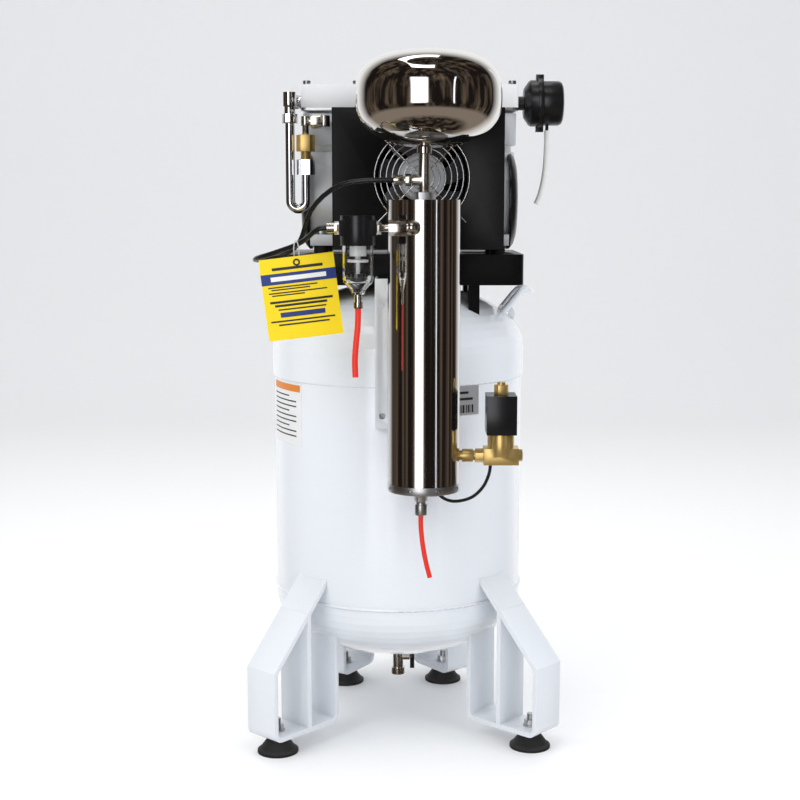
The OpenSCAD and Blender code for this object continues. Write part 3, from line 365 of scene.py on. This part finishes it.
def free_hose(node, route, diameter, material, steps=4):
    run = smooth_run(route, steps)
    obj = line_piece(node + "_line", run, diameter, material, replaces=(node,))
    return obj


def turned(shape, profile, origin, direction, segments=64):
    """Adds a turned form to a bmesh: profile points are (distance from axis, height)."""
    turn = Vector((0, 0, 1)).rotation_difference(Vector(direction)).to_matrix().to_4x4()
    move = Matrix.Translation(at(*origin)) @ turn
    rings = []
    for radius, height in profile:
        ring = []
        if radius < 1e-6:
            ring = [shape.verts.new(move @ Vector((0, 0, height / 1000)))] * segments
        else:
            for k in range(segments):
                a = 2 * pi * k / segments
                ring.append(shape.verts.new(move @ Vector(
                    (radius * cos(a) / 1000, radius * sin(a) / 1000, height / 1000))))
        rings.append(ring)
    for low, high in zip(rings, rings[1:]):
        for k in range(segments):
            j = (k + 1) % segments
            corners = []
            for v in (low[k], low[j], high[j], high[k]):
                if v not in corners:
                    corners.append(v)
            if len(corners) > 2:
                shape.faces.new(corners)


def screw_head(shape, centre, direction, radius=4.0, height=2.5):
    """Adds a domed screw head with a recess."""
    turned(shape, [(radius, 0), (radius, height * 0.45), (radius * 0.8, height * 0.85),
                   (radius * 0.45, height), (radius * 0.4, height * 0.5), (0, height * 0.5)],
           centre, direction, 20)


def softened(node, material, width=0.7, angle=38):
    """A CAD piece with its hard edges eased, standing in for the plain one."""
    source = frame["nodes"][node]
    shape = bmesh.new()
    shape.from_mesh(source.data)
    shape.transform(source.matrix_world)
    bmesh.ops.remove_doubles(shape, verts=shape.verts, dist=1e-6)
    bmesh.ops.dissolve_limit(shape, angle_limit=radians(1.0), verts=shape.verts,
                             edges=shape.edges)
    mesh = bpy.data.meshes.new(node + "_eased")
    shape.to_mesh(mesh)
    shape.free()
    obj = bpy.data.objects.new(node + "_eased", mesh)
    bpy.context.scene.collection.objects.link(obj)
    bevel = obj.modifiers.new("Eased edges", "BEVEL")
    bevel.width = width / 1000
    bevel.segments = 2
    bevel.limit_method = "ANGLE"
    bevel.angle_limit = radians(angle)
    bevel.use_clamp_overlap = True
    bevel.harden_normals = False
    depsgraph = bpy.context.evaluated_depsgraph_get()
    eased = bpy.data.meshes.new_from_object(obj.evaluated_get(depsgraph))
    obj.modifiers.clear()
    obj.data = eased
    eased.materials.clear()
    eased.materials.append(FINISHES[material])
    eased.polygons.foreach_set("use_smooth", [True] * len(eased.polygons))
    eased.set_sharp_from_angle(angle=radians(30))
    return obj


def body_of_node(node):
    for body, nodes in frame["record"]["behaviour"]["bodies"].items():
        if node in nodes:
            return body
    raise RuntimeError("no body holds " + node)


def ease(nodes, material, width=0.7, angle=38):
    share = bpy.context.scene.compressor_looks.edge
    for node in nodes:
        obj = softened(node, material, width * share, angle)
        place_piece(obj, body_of_node(node), (node,))


def paint(nodes, material):
    """Gives CAD pieces that show as they are their finish."""
    for node in nodes:
        mesh = frame["nodes"][node].data
        mesh.materials.clear()
        mesh.materials.append(FINISHES[material])


def tank_patch(name, angles, heights, lift, material, radius=TANK_R):
    """A thin label, or a bar printed on one, that follows the tank's side."""
    shape = bmesh.new()
    steps = max(2, int(abs(angles[1] - angles[0]) / 2))
    columns = []
    for i in range(steps + 1):
        a = radians(angles[0] + (angles[1] - angles[0]) * i / steps)
        column = []
        for r in (radius - 0.3, radius + lift):
            for z in heights:
                column.append(shape.verts.new(at(r * sin(a), -r * cos(a), z)))
        columns.append(column)
    for a, b in zip(columns, columns[1:]):
        for p, q in ((0, 1), (1, 3), (3, 2), (2, 0)):
            shape.faces.new((a[p], a[q], b[q], b[p]))
    for column in (columns[0], columns[-1]):
        shape.faces.new((column[0], column[1], column[3], column[2]))
    return mesh_piece(name, shape, material)


# The pieces


class CompressorLooks(bpy.types.PropertyGroup):
    tank_white: FloatVectorProperty(
        name="Tank white", description="Gloss paint of the tank, legs and bracket",
        subtype="COLOR", size=3, min=0, max=1, default=(0.80, 0.83, 0.87))
    tag_yellow: FloatVectorProperty(
        name="Tag yellow", description="Card of the hanging tag",
        subtype="COLOR", size=3, min=0, max=1, default=(0.93, 0.68, 0.0))
    tube_red: FloatVectorProperty(
        name="Drain red", description="Plastic of the two drain tubes",
        subtype="COLOR", size=3, min=0, max=1, default=(0.80, 0.035, 0.02))
    edge: FloatProperty(
        name="Edge easing", description="How much hard edges are rounded; 1 is as built",
        default=1.0, min=0.3, max=2.0)
    blade_count: IntProperty(
        name="Fan blades", description="Number of blades on the cooling fan",
        default=7, min=5, max=9)
    lens: FloatProperty(
        name="Lens", description="Focal length of the studio camera, in millimetres",
        default=64.35, min=35, max=120, subtype="DISTANCE_CAMERA")
    key_power: FloatProperty(
        name="Key light", description="Power of the large soft key light",
        default=26.0, min=0, max=200, unit="POWER")


class COMPRESSOR_OT_camera(bpy.types.Operator):
    """Set up the camera in front of the compressor"""

    bl_idname = "compressor.camera"
    bl_label = "Camera"

    def execute(self, context):
        data = bpy.data.cameras.new("studio_camera")
        data.lens = context.scene.compressor_looks.lens
        data.sensor_width = 36
        data.clip_end = 50
        camera = bpy.data.objects.new("studio_camera", data)
        camera.location = at(2.7, -1914, 690)
        camera.rotation_euler = (radians(90 - 7.8), 0, 0)
        context.scene.collection.objects.link(camera)
        context.scene.camera = camera
        return {"FINISHED"}


class COMPRESSOR_OT_hoses(bpy.types.Operator):
    """Run the black hose, the breather tube and the two red drain tubes"""

    bl_idname = "compressor.hoses"
    bl_label = "Hoses and tubes"

    def execute(self, context):
        free_hose("purge_hose", HOSE_RUN, 6.0, "black_hose", steps=2)
        free_hose("intake_tube", BREATHER_RUN, 7.0, "milky_tube")
        free_hose("filter_drain_tube", FILTER_DRAIN_RUN, 7.0, "red_plastic")
        free_hose("column_drain_tube", COLUMN_DRAIN_RUN, 6.0, "red_plastic")
        line_piece("solenoid_cable_line", smooth_run(CABLE_RUN, 4), 4.0, "rubber",
                   replaces=("solenoid_cable",))
        return {"FINISHED"}


class COMPRESSOR_OT_tank(bpy.types.Operator):
    """Finish the tank, its drain, handle, column bracket and lifting eye"""

    bl_idname = "compressor.tank"
    bl_label = "Tank"

    def execute(self, context):
        paint(["tank"], "tank_white")
        ease(["tank_brackets"], "tank_white", 0.6)
        line_piece("tank_handle_rod", smooth_run(HANDLE_RUN, 4), 9.0, "tank_white",
                   replaces=("tank_handle",))
        paint(["drain_valve"], "nickel")
        ease(["drain_knob"], "black_plastic", 0.6)
        return {"FINISHED"}


class COMPRESSOR_OT_legs(bpy.types.Operator):
    """Finish the legs with their rubber pads, studs and the fasteners"""

    bl_idname = "compressor.legs"
    bl_label = "Legs and feet"

    def execute(self, context):
        ease(["legs"], "tank_white", 1.0)
        paint(["rubber_feet"], "rubber")
        paint(["foot_studs"], "steel")
        ease(["fasteners"], "steel", 0.4)
        return {"FINISHED"}


class COMPRESSOR_OT_deck(bpy.types.Operator):
    """Finish the deck and its posts"""

    bl_idname = "compressor.deck"
    bl_label = "Deck"

    def execute(self, context):
        ease(["deck_tray"], "black_paint", 1.2)
        return {"FINISHED"}


class COMPRESSOR_OT_pump(bpy.types.Operator):
    """Finish the two-cylinder pump and its motor"""

    bl_idname = "compressor.pump"
    bl_label = "Pump"

    def execute(self, context):
        ease(["crankcases"], "pump_grey", 1.0)
        ease(["crank_covers"], "black_plastic", 1.0)
        ease(["cylinders"], "pump_grey", 0.4)
        ease(["heads"], "head_white", 2.0)
        ease(["valve_plates", "pistons"], "aluminium", 0.4)
        paint(["motor_shell"], "black_paint")
        paint(["motor_stator"], "stator_iron")
        paint(["motor_shaft", "shaft_bearings"], "steel")
        return {"FINISHED"}


class COMPRESSOR_OT_fan(bpy.types.Operator):
    """Finish the shroud and build the fan's blades behind its wire guard"""

    bl_idname = "compressor.fan"
    bl_label = "Shroud and fan"

    def execute(self, context):
        ease(["fan_shroud"], "black_paint", 1.0)
        ease(["fan_frame"], "black_plastic", 0.8)
        paint(["fan_guard"], "chrome")
        self.rotor(context.scene.compressor_looks.blade_count)
        return {"FINISHED"}

    def rotor(self, blades):
        shape = bmesh.new()
        for k in range(blades):
            self.blade(shape, 2 * pi * k / blades)
        mesh_piece("fan_blades", shape, "blade_plastic", "fan_rotor",
                   ("fan_rotor",))
        hub = bmesh.new()
        turned(hub, [(0, 0), (24, 0), (27.5, 0.8), (29, 3), (29, 16), (0, 16)],
               FAN, (0, 1, 0), 64)
        mesh_piece("fan_hub", hub, "grey_plastic", "fan_rotor")

    def blade(self, shape, start):
        """One twisted blade, from the hub to just inside the frame."""
        rows = []
        for i in range(7):
            r = 27.5 + 27.5 * i / 6
            span = radians(38 - 6 * i / 6)
            row = []
            for j in range(7):
                t = j / 6 - 0.5
                a = start + t * span + radians(3 * i)
                depth = 8 - t * 13 * (1 - 0.25 * i / 6) + 1.5 * sin(pi * (j / 6))
                front = FAN + Vector((r * cos(a), depth, r * sin(a)))
                row.append((shape.verts.new(at(*front)),
                            shape.verts.new(at(front.x, front.y + 1.4, front.z))))
            rows.append(row)
        for a, b in zip(rows, rows[1:]):
            for j in range(6):
                shape.faces.new((a[j][0], a[j + 1][0], b[j + 1][0], b[j][0]))
                shape.faces.new((a[j][1], b[j][1], b[j + 1][1], a[j + 1][1]))
            for j in (0, 6):
                shape.faces.new((a[j][0], b[j][0], b[j][1], a[j][1]))
        for row in (rows[0], rows[-1]):
            for j in range(6):
                shape.faces.new((row[j][0], row[j][1], row[j + 1][1], row[j + 1][0]))


class COMPRESSOR_OT_intake(bpy.types.Operator):
    """Finish the intake filter and its clips"""

    bl_idname = "compressor.intake"
    bl_label = "Intake filter"

    def execute(self, context):
        ease(["intake_filter", "intake_cap"], "black_plastic", 0.8)
        return {"FINISHED"}


class COMPRESSOR_OT_discharge(bpy.types.Operator):
    """Finish the discharge line at the pump's left front"""

    bl_idname = "compressor.discharge"
    bl_label = "Discharge line"

    def execute(self, context):
        paint(["discharge_pipe"], "chrome")
        ease(["discharge_elbow"], "chrome", 0.6)
        ease(["discharge_valve"], "brass", 0.6)
        return {"FINISHED"}


class COMPRESSOR_OT_dryer(bpy.types.Operator):
    """Finish the dryer column, its caps and the purge tank"""

    bl_idname = "compressor.dryer"
    bl_label = "Dryer column and purge tank"

    def execute(self, context):
        paint(["dryer_column"], "column_steel")
        self.purge_tank()
        ease(["column_caps"], "aluminium", 0.5)
        ease(["purge_tee"], "nickel", 0.4)
        paint(["desiccant"], "white_plastic")
        shape = bmesh.new()
        for k in range(8):
            a = radians(22.5 + 45 * k)
            out = Vector((cos(a), sin(a), 0))
            centre = COLUMN + out * (COLUMN_R - 0.4) + Vector((0, 0, 5))
            screw_head(shape, centre, out, 2.2, 1.4)
        mesh_piece("cap_screws", shape, "steel")
        return {"FINISHED"}

    def purge_tank(self):
        """The polished tank, turned finely so that its reflections run clean."""
        profile = []
        for k in range(97):
            a = radians(-90 + 180 * k / 96)
            power, side = (DOME_UPPER, 1) if a > 0 else (DOME_LOWER, -1)
            profile.append((DOME_R * abs(cos(a)) ** (2 / power),
                            DOME_H / 2 * (1 + side * abs(sin(a)) ** (2 / power))))
        profile[0] = (0, profile[0][1])
        profile[-1] = (0, profile[-1][1])
        shape = bmesh.new()
        turned(shape, profile, DOME, (0, 0, 1), 192)
        turned(shape, [(3, -6), (9, -6), (9, 8)], DOME - Vector((5, 0, 0)), (0, 0, 1), 48)
        mesh_piece("purge_tank_turned", shape, "polished_steel",
                   replaces=("purge_tank",))


class COMPRESSOR_OT_filter(bpy.types.Operator):
    """Finish the inlet filter beside the column"""

    bl_idname = "compressor.filter"
    bl_label = "Inlet filter"

    def execute(self, context):
        ease(["filter_head"], "black_plastic", 1.0)
        paint(["filter_bowl"], "clear_plastic")
        paint(["filter_element"], "white_plastic")
        paint(["filter_float"], "black_plastic")
        ease(["air_fittings"], "nickel", 0.4)
        return {"FINISHED"}


class COMPRESSOR_OT_solenoid(bpy.types.Operator):
    """Finish the purge solenoid valve"""

    bl_idname = "compressor.solenoid"
    bl_label = "Solenoid valve"

    def execute(self, context):
        ease(["solenoid_valve"], "brass", 0.6)
        ease(["solenoid_coil"], "black_plastic", 1.2)
        paint(["solenoid_plunger"], "steel")
        return {"FINISHED"}


class COMPRESSOR_OT_tag(bpy.types.Operator):
    """Hang the yellow card tag with its plain printed bars"""

    bl_idname = "compressor.tag"
    bl_label = "Hanging tag"

    # Printed bars on the card: left, width, top and height as shares of the card, and the ink
    BARS = (
        (0.16, 0.68, 0.115, 0.035, "ink_black"), (0.0, 1.0, 0.185, 0.135, "ink_blue"),
        (0.13, 0.74, 0.225, 0.055, "ink_white"), (0.08, 0.66, 0.345, 0.016, "ink_black"),
        (0.12, 0.52, 0.375, 0.016, "ink_black"), (0.08, 0.78, 0.415, 0.016, "ink_black"),
        (0.12, 0.44, 0.445, 0.016, "ink_black"), (0.08, 0.84, 0.520, 0.028, "ink_black"),
        (0.14, 0.70, 0.565, 0.028, "ink_black"), (0.18, 0.64, 0.620, 0.018, "ink_black"),
        (0.20, 0.60, 0.665, 0.060, "ink_blue"), (0.06, 0.86, 0.760, 0.020, "ink_black"),
        (0.16, 0.68, 0.805, 0.020, "ink_black"),
    )
    WIDTH = 88
    HEIGHT = 96
    ABOVE_HOLE = 7

    def on_card(self, x, z, out):
        """A point of the card, from its hole, bowed a little like real card."""
        bow = 2.2 * (x / 44) ** 2 + 2.5 * (z / 90) ** 2
        p = Matrix.Rotation(TAG_LEAN, 3, "Y") @ Vector((x, -out + bow, z))
        return at(*(TAG_HOLE + p))

    def strip(self, shape, x0, x1, z0, z1, low, high, nx=12, nz=2):
        grids = []
        for out in (low, high):
            grids.append([[shape.verts.new(self.on_card(
                x0 + (x1 - x0) * i / nx, z0 + (z1 - z0) * j / nz, out))
                for i in range(nx + 1)] for j in range(nz + 1)])
        for grid in grids:
            for j in range(nz):
                for i in range(nx):
                    shape.faces.new((grid[j][i], grid[j][i + 1],
                                     grid[j + 1][i + 1], grid[j + 1][i]))
        back, front = grids
        for j in (0, nz):
            for i in range(nx):
                shape.faces.new((back[j][i], back[j][i + 1], front[j][i + 1], front[j][i]))
        for i in (0, nx):
            for j in range(nz):
                shape.faces.new((back[j][i], back[j + 1][i], front[j + 1][i], front[j][i]))

    def execute(self, context):
        top = self.ABOVE_HOLE
        left = -self.WIDTH / 2
        card = bmesh.new()
        self.strip(card, left, -left, top - self.HEIGHT, top, -0.4, 0.4, 24, 24)
        mesh_piece("tag_card", card, "tag_card", "hang_tag", ("hang_tag",))
        inks = {}
        for x, w, z, h, ink in self.BARS:
            shape = inks.setdefault(ink, bmesh.new())
            lift = 0.56 if ink == "ink_white" else 0.5
            self.strip(shape, left + self.WIDTH * x, left + self.WIDTH * (x + w),
                       top - self.HEIGHT * (z + h), top - self.HEIGHT * z, 0.38, lift, 16, 1)
        for ink, shape in inks.items():
            mesh_piece("tag_" + ink, shape, ink, "hang_tag")
        eyelet = bmesh.new()
        turned(eyelet, [(2.2, 0), (3.4, 0.2), (4.2, 0.1), (4.2, -0.6)],
               TAG_HOLE + Vector((0, -0.6, 0)), (0, -1, 0), 24)
        mesh_piece("tag_eyelet", eyelet, "ink_black", "hang_tag")
        loop = [TAG_HOLE + Vector((3.0 * sin(2 * pi * k / 40), 12.2 * cos(2 * pi * k / 40) * 0.6,
                                   12.3 - 12.6 * cos(2 * pi * k / 40))) for k in range(40)]
        line_piece("tag_tie", loop, 1.3, "tie_string", "hang_tag", closed=True)
        return {"FINISHED"}


class COMPRESSOR_OT_labels(bpy.types.Operator):
    """Put the two plain labels on the tank"""

    bl_idname = "compressor.labels"
    bl_label = "Tank labels"

    def execute(self, context):
        tank_patch("side_label", (-78, -48), (383, 463), 0.25, "label_paper")
        tank_patch("side_label_band", (-77, -49), (452, 461), 0.4, "ink_orange")
        for k in range(9):
            z = 445 - 6.4 * k
            end = -52 if k % 3 else -58
            tank_patch(f"side_label_bar_{k}", (-76, end), (z, z + 1.6), 0.4, "ink_black")
        tank_patch("front_label", (8, 38), (428, 466), 0.25, "label_foil")
        for k, width in enumerate((13, 20)):
            z = 455 - 8 * k
            tank_patch(f"front_label_line_{k}", (28 - width / 2, 28 + width / 3), (z, z + 3), 0.4,
                       "ink_black")
        place = 11.0
        for k in range(22):
            width = (0.4, 0.9, 0.5, 0.7)[k % 4]
            tank_patch(f"front_label_stripe_{k}", (place, place + width), (431, 441), 0.4,
                       "ink_black")
            place += width + (0.45, 0.3, 0.7)[k % 3]
        return {"FINISHED"}


class COMPRESSOR_OT_rear(bpy.types.Operator):
    """Finish the outlet controls behind the tank"""

    bl_idname = "compressor.rear"
    bl_label = "Outlet controls"

    def execute(self, context):
        ease(["manifold", "outlet_coupler", "safety_valve"], "brass", 0.5)
        ease(["pressure_switch"], "black_plastic", 2.0)
        ease(["switch_lever"], "red_plastic", 0.8)
        ease(["regulator"], "aluminium", 0.6)
        ease(["regulator_knob"], "black_plastic", 0.8)
        ease(["coupler_sleeve"], "steel", 0.5)
        ease(["gauge_cases"], "black_plastic", 0.5)
        paint(["gauge_faces"], "white_plastic")
        paint(["gauge_lenses"], "clear_plastic")
        paint(["safety_ring"], "steel")
        return {"FINISHED"}


class COMPRESSOR_OT_studio(bpy.types.Operator):
    """Set up the floor, the soft lights and the room that the metal reflects"""

    bl_idname = "compressor.studio"
    bl_label = "Studio"

    def execute(self, context):
        shape = bmesh.new()
        sweep = [(-5.0, 0.0), (2.6, 0.0)]
        sweep += [(2.6 + 1.4 * sin(radians(5 * k)), 1.4 - 1.4 * cos(radians(5 * k)))
                  for k in range(1, 19)]
        sweep.append((4.0, 5.0))
        rows = [[shape.verts.new((x, y, z)) for x in (-6.0, 6.0)] for y, z in sweep]
        for a, b in zip(rows, rows[1:]):
            shape.faces.new((a[0], a[1], b[1], b[0])).smooth = True
        mesh = bpy.data.meshes.new("studio_floor")
        shape.to_mesh(mesh)
        shape.free()
        mesh.materials.append(FINISHES["floor"])
        floor = bpy.data.objects.new("studio_floor", mesh)
        context.scene.collection.objects.link(floor)
        floor.visible_glossy = False
        context.scene.view_settings.view_transform = "Standard"
        power = context.scene.compressor_looks.key_power
        self.light("key", (-1500, -1500, 2100), (0, 0, 450), 1.6, power, (1, 0.99, 0.97))
        self.light("fill", (1700, -1300, 1500), (0, 0, 400), 1.4, power * 0.5, (0.95, 0.97, 1))
        self.light("top", (0, 300, 2400), (0, 0, 500), 1.8, power * 0.8, (1, 1, 1))
        self.room(context)
        return {"FINISHED"}

    def light(self, name, place, target, size, power, colour):
        data = bpy.data.lights.new(name, "AREA")
        data.size = size
        data.energy = power
        data.color = colour
        obj = bpy.data.objects.new(name, data)
        obj.location = at(*place)
        obj.rotation_euler = (at(*target) - at(*place)).to_track_quat("-Z", "Y").to_euler()
        obj.visible_glossy = False
        bpy.context.scene.collection.objects.link(obj)

    def room(self, context):
        """Bright all round for the light it gives; dark with one tall window in reflections."""
        world = bpy.data.worlds.new("studio_room")
        context.scene.world = world
        world.use_nodes = True
        tree = world.node_tree
        background = tree.nodes["Background"]
        coords = tree.nodes.new("ShaderNodeTexCoord")
        split = tree.nodes.new("ShaderNodeSeparateXYZ")
        tree.links.new(coords.outputs["Generated"], split.inputs["Vector"])
        noise = tree.nodes.new("ShaderNodeTexNoise")
        mapping = tree.nodes.new("ShaderNodeMapping")
        mapping.inputs["Scale"].default_value = (5, 5, 0.8)
        noise.inputs["Scale"].default_value = 1.3
        noise.inputs["Detail"].default_value = 4
        tree.links.new(coords.outputs["Generated"], mapping.inputs["Vector"])
        tree.links.new(mapping.outputs["Vector"], noise.inputs["Vector"])
        clutter = ranged(tree, noise.outputs["Fac"], 0.45, 0.75, 0.0, 1.0)
        dark = colour_mix(tree, clutter, (0.012, 0.009, 0.008), (0.16, 0.12, 0.085))
        window = self.band(tree, split.outputs["X"], -0.25, 0.17, 0.07)
        height = self.band(tree, split.outputs["Z"], 0.12, 0.32, 0.06)
        window = self.times(tree, window, height)
        room = colour_mix(tree, window, dark, (2.6, 2.6, 2.7))
        strip = self.times(tree, self.band(tree, split.outputs["X"], 0.62, 0.012, 0.008), height)
        room = colour_mix(tree, strip, room, (1.6, 1.7, 1.9))
        lamp = self.times(tree, self.band(tree, split.outputs["Z"], 0.90, 0.035, 0.01),
                          self.band(tree, split.outputs["X"], -0.12, 0.22, 0.02))
        room = colour_mix(tree, lamp, room, (3.0, 3.0, 3.0))
        ground = self.band(tree, split.outputs["Z"], -0.62, 0.14, 0.12)
        room = colour_mix(tree, ground, room, (0.24, 0.20, 0.16))
        behind = ranged(tree, split.outputs["Y"], 0.45, 0.80, 0.0, 1.0)
        room = colour_mix(tree, behind, room, (0.95, 0.95, 0.95))
        path = tree.nodes.new("ShaderNodeLightPath")
        bright = colour_mix(tree, path.outputs["Is Glossy Ray"], (0.70, 0.715, 0.74), room)
        tree.links.new(bright, background.inputs["Color"])
        background.inputs["Strength"].default_value = 1.0

    def band(self, tree, value, middle, half, soft):
        away = tree.nodes.new("ShaderNodeMath")
        away.operation = "SUBTRACT"
        away.inputs[1].default_value = middle
        tree.links.new(value, away.inputs[0])
        size = tree.nodes.new("ShaderNodeMath")
        size.operation = "ABSOLUTE"
        tree.links.new(away.outputs[0], size.inputs[0])
        return ranged(tree, size.outputs[0], half, half + soft, 1.0, 0.0)

    def times(self, tree, first, second):
        node = tree.nodes.new("ShaderNodeMath")
        node.operation = "MULTIPLY"
        tree.links.new(first, node.inputs[0])
        tree.links.new(second, node.inputs[1])
        return node.outputs[0]


OPERATORS = (
    COMPRESSOR_OT_camera, COMPRESSOR_OT_hoses, COMPRESSOR_OT_tank, COMPRESSOR_OT_legs,
    COMPRESSOR_OT_deck, COMPRESSOR_OT_pump, COMPRESSOR_OT_fan, COMPRESSOR_OT_intake,
    COMPRESSOR_OT_discharge, COMPRESSOR_OT_dryer, COMPRESSOR_OT_filter, COMPRESSOR_OT_solenoid,
    COMPRESSOR_OT_tag, COMPRESSOR_OT_labels, COMPRESSOR_OT_rear, COMPRESSOR_OT_studio,
)


class COMPRESSOR_PT_panel(bpy.types.Panel):
    """Sizes, colours and steps of the compressor"""

    bl_idname = "COMPRESSOR_PT_panel"
    bl_label = "Compressor"
    bl_space_type = "VIEW_3D"
    bl_region_type = "UI"
    bl_category = "Compressor"

    def draw(self, context):
        looks = context.scene.compressor_looks
        for name in ("tank_white", "tag_yellow", "tube_red", "edge", "blade_count", "lens",
                     "key_power"):
            self.layout.prop(looks, name)
        for step in OPERATORS:
            self.layout.operator(step.bl_idname)


CLASSES = (CompressorLooks, *OPERATORS, COMPRESSOR_PT_panel)


def register():
    for item in CLASSES:
        bpy.utils.register_class(item)
    bpy.types.Scene.compressor_looks = PointerProperty(type=CompressorLooks)


def unregister():
    del bpy.types.Scene.compressor_looks
    for item in reversed(CLASSES):
        bpy.utils.unregister_class(item)


def main():
    register()
    make_finishes()
    for step in OPERATORS:
        group, name = step.bl_idname.split(".")
        getattr(getattr(bpy.ops, group), name)()


if __name__ == "__main__":
    main()
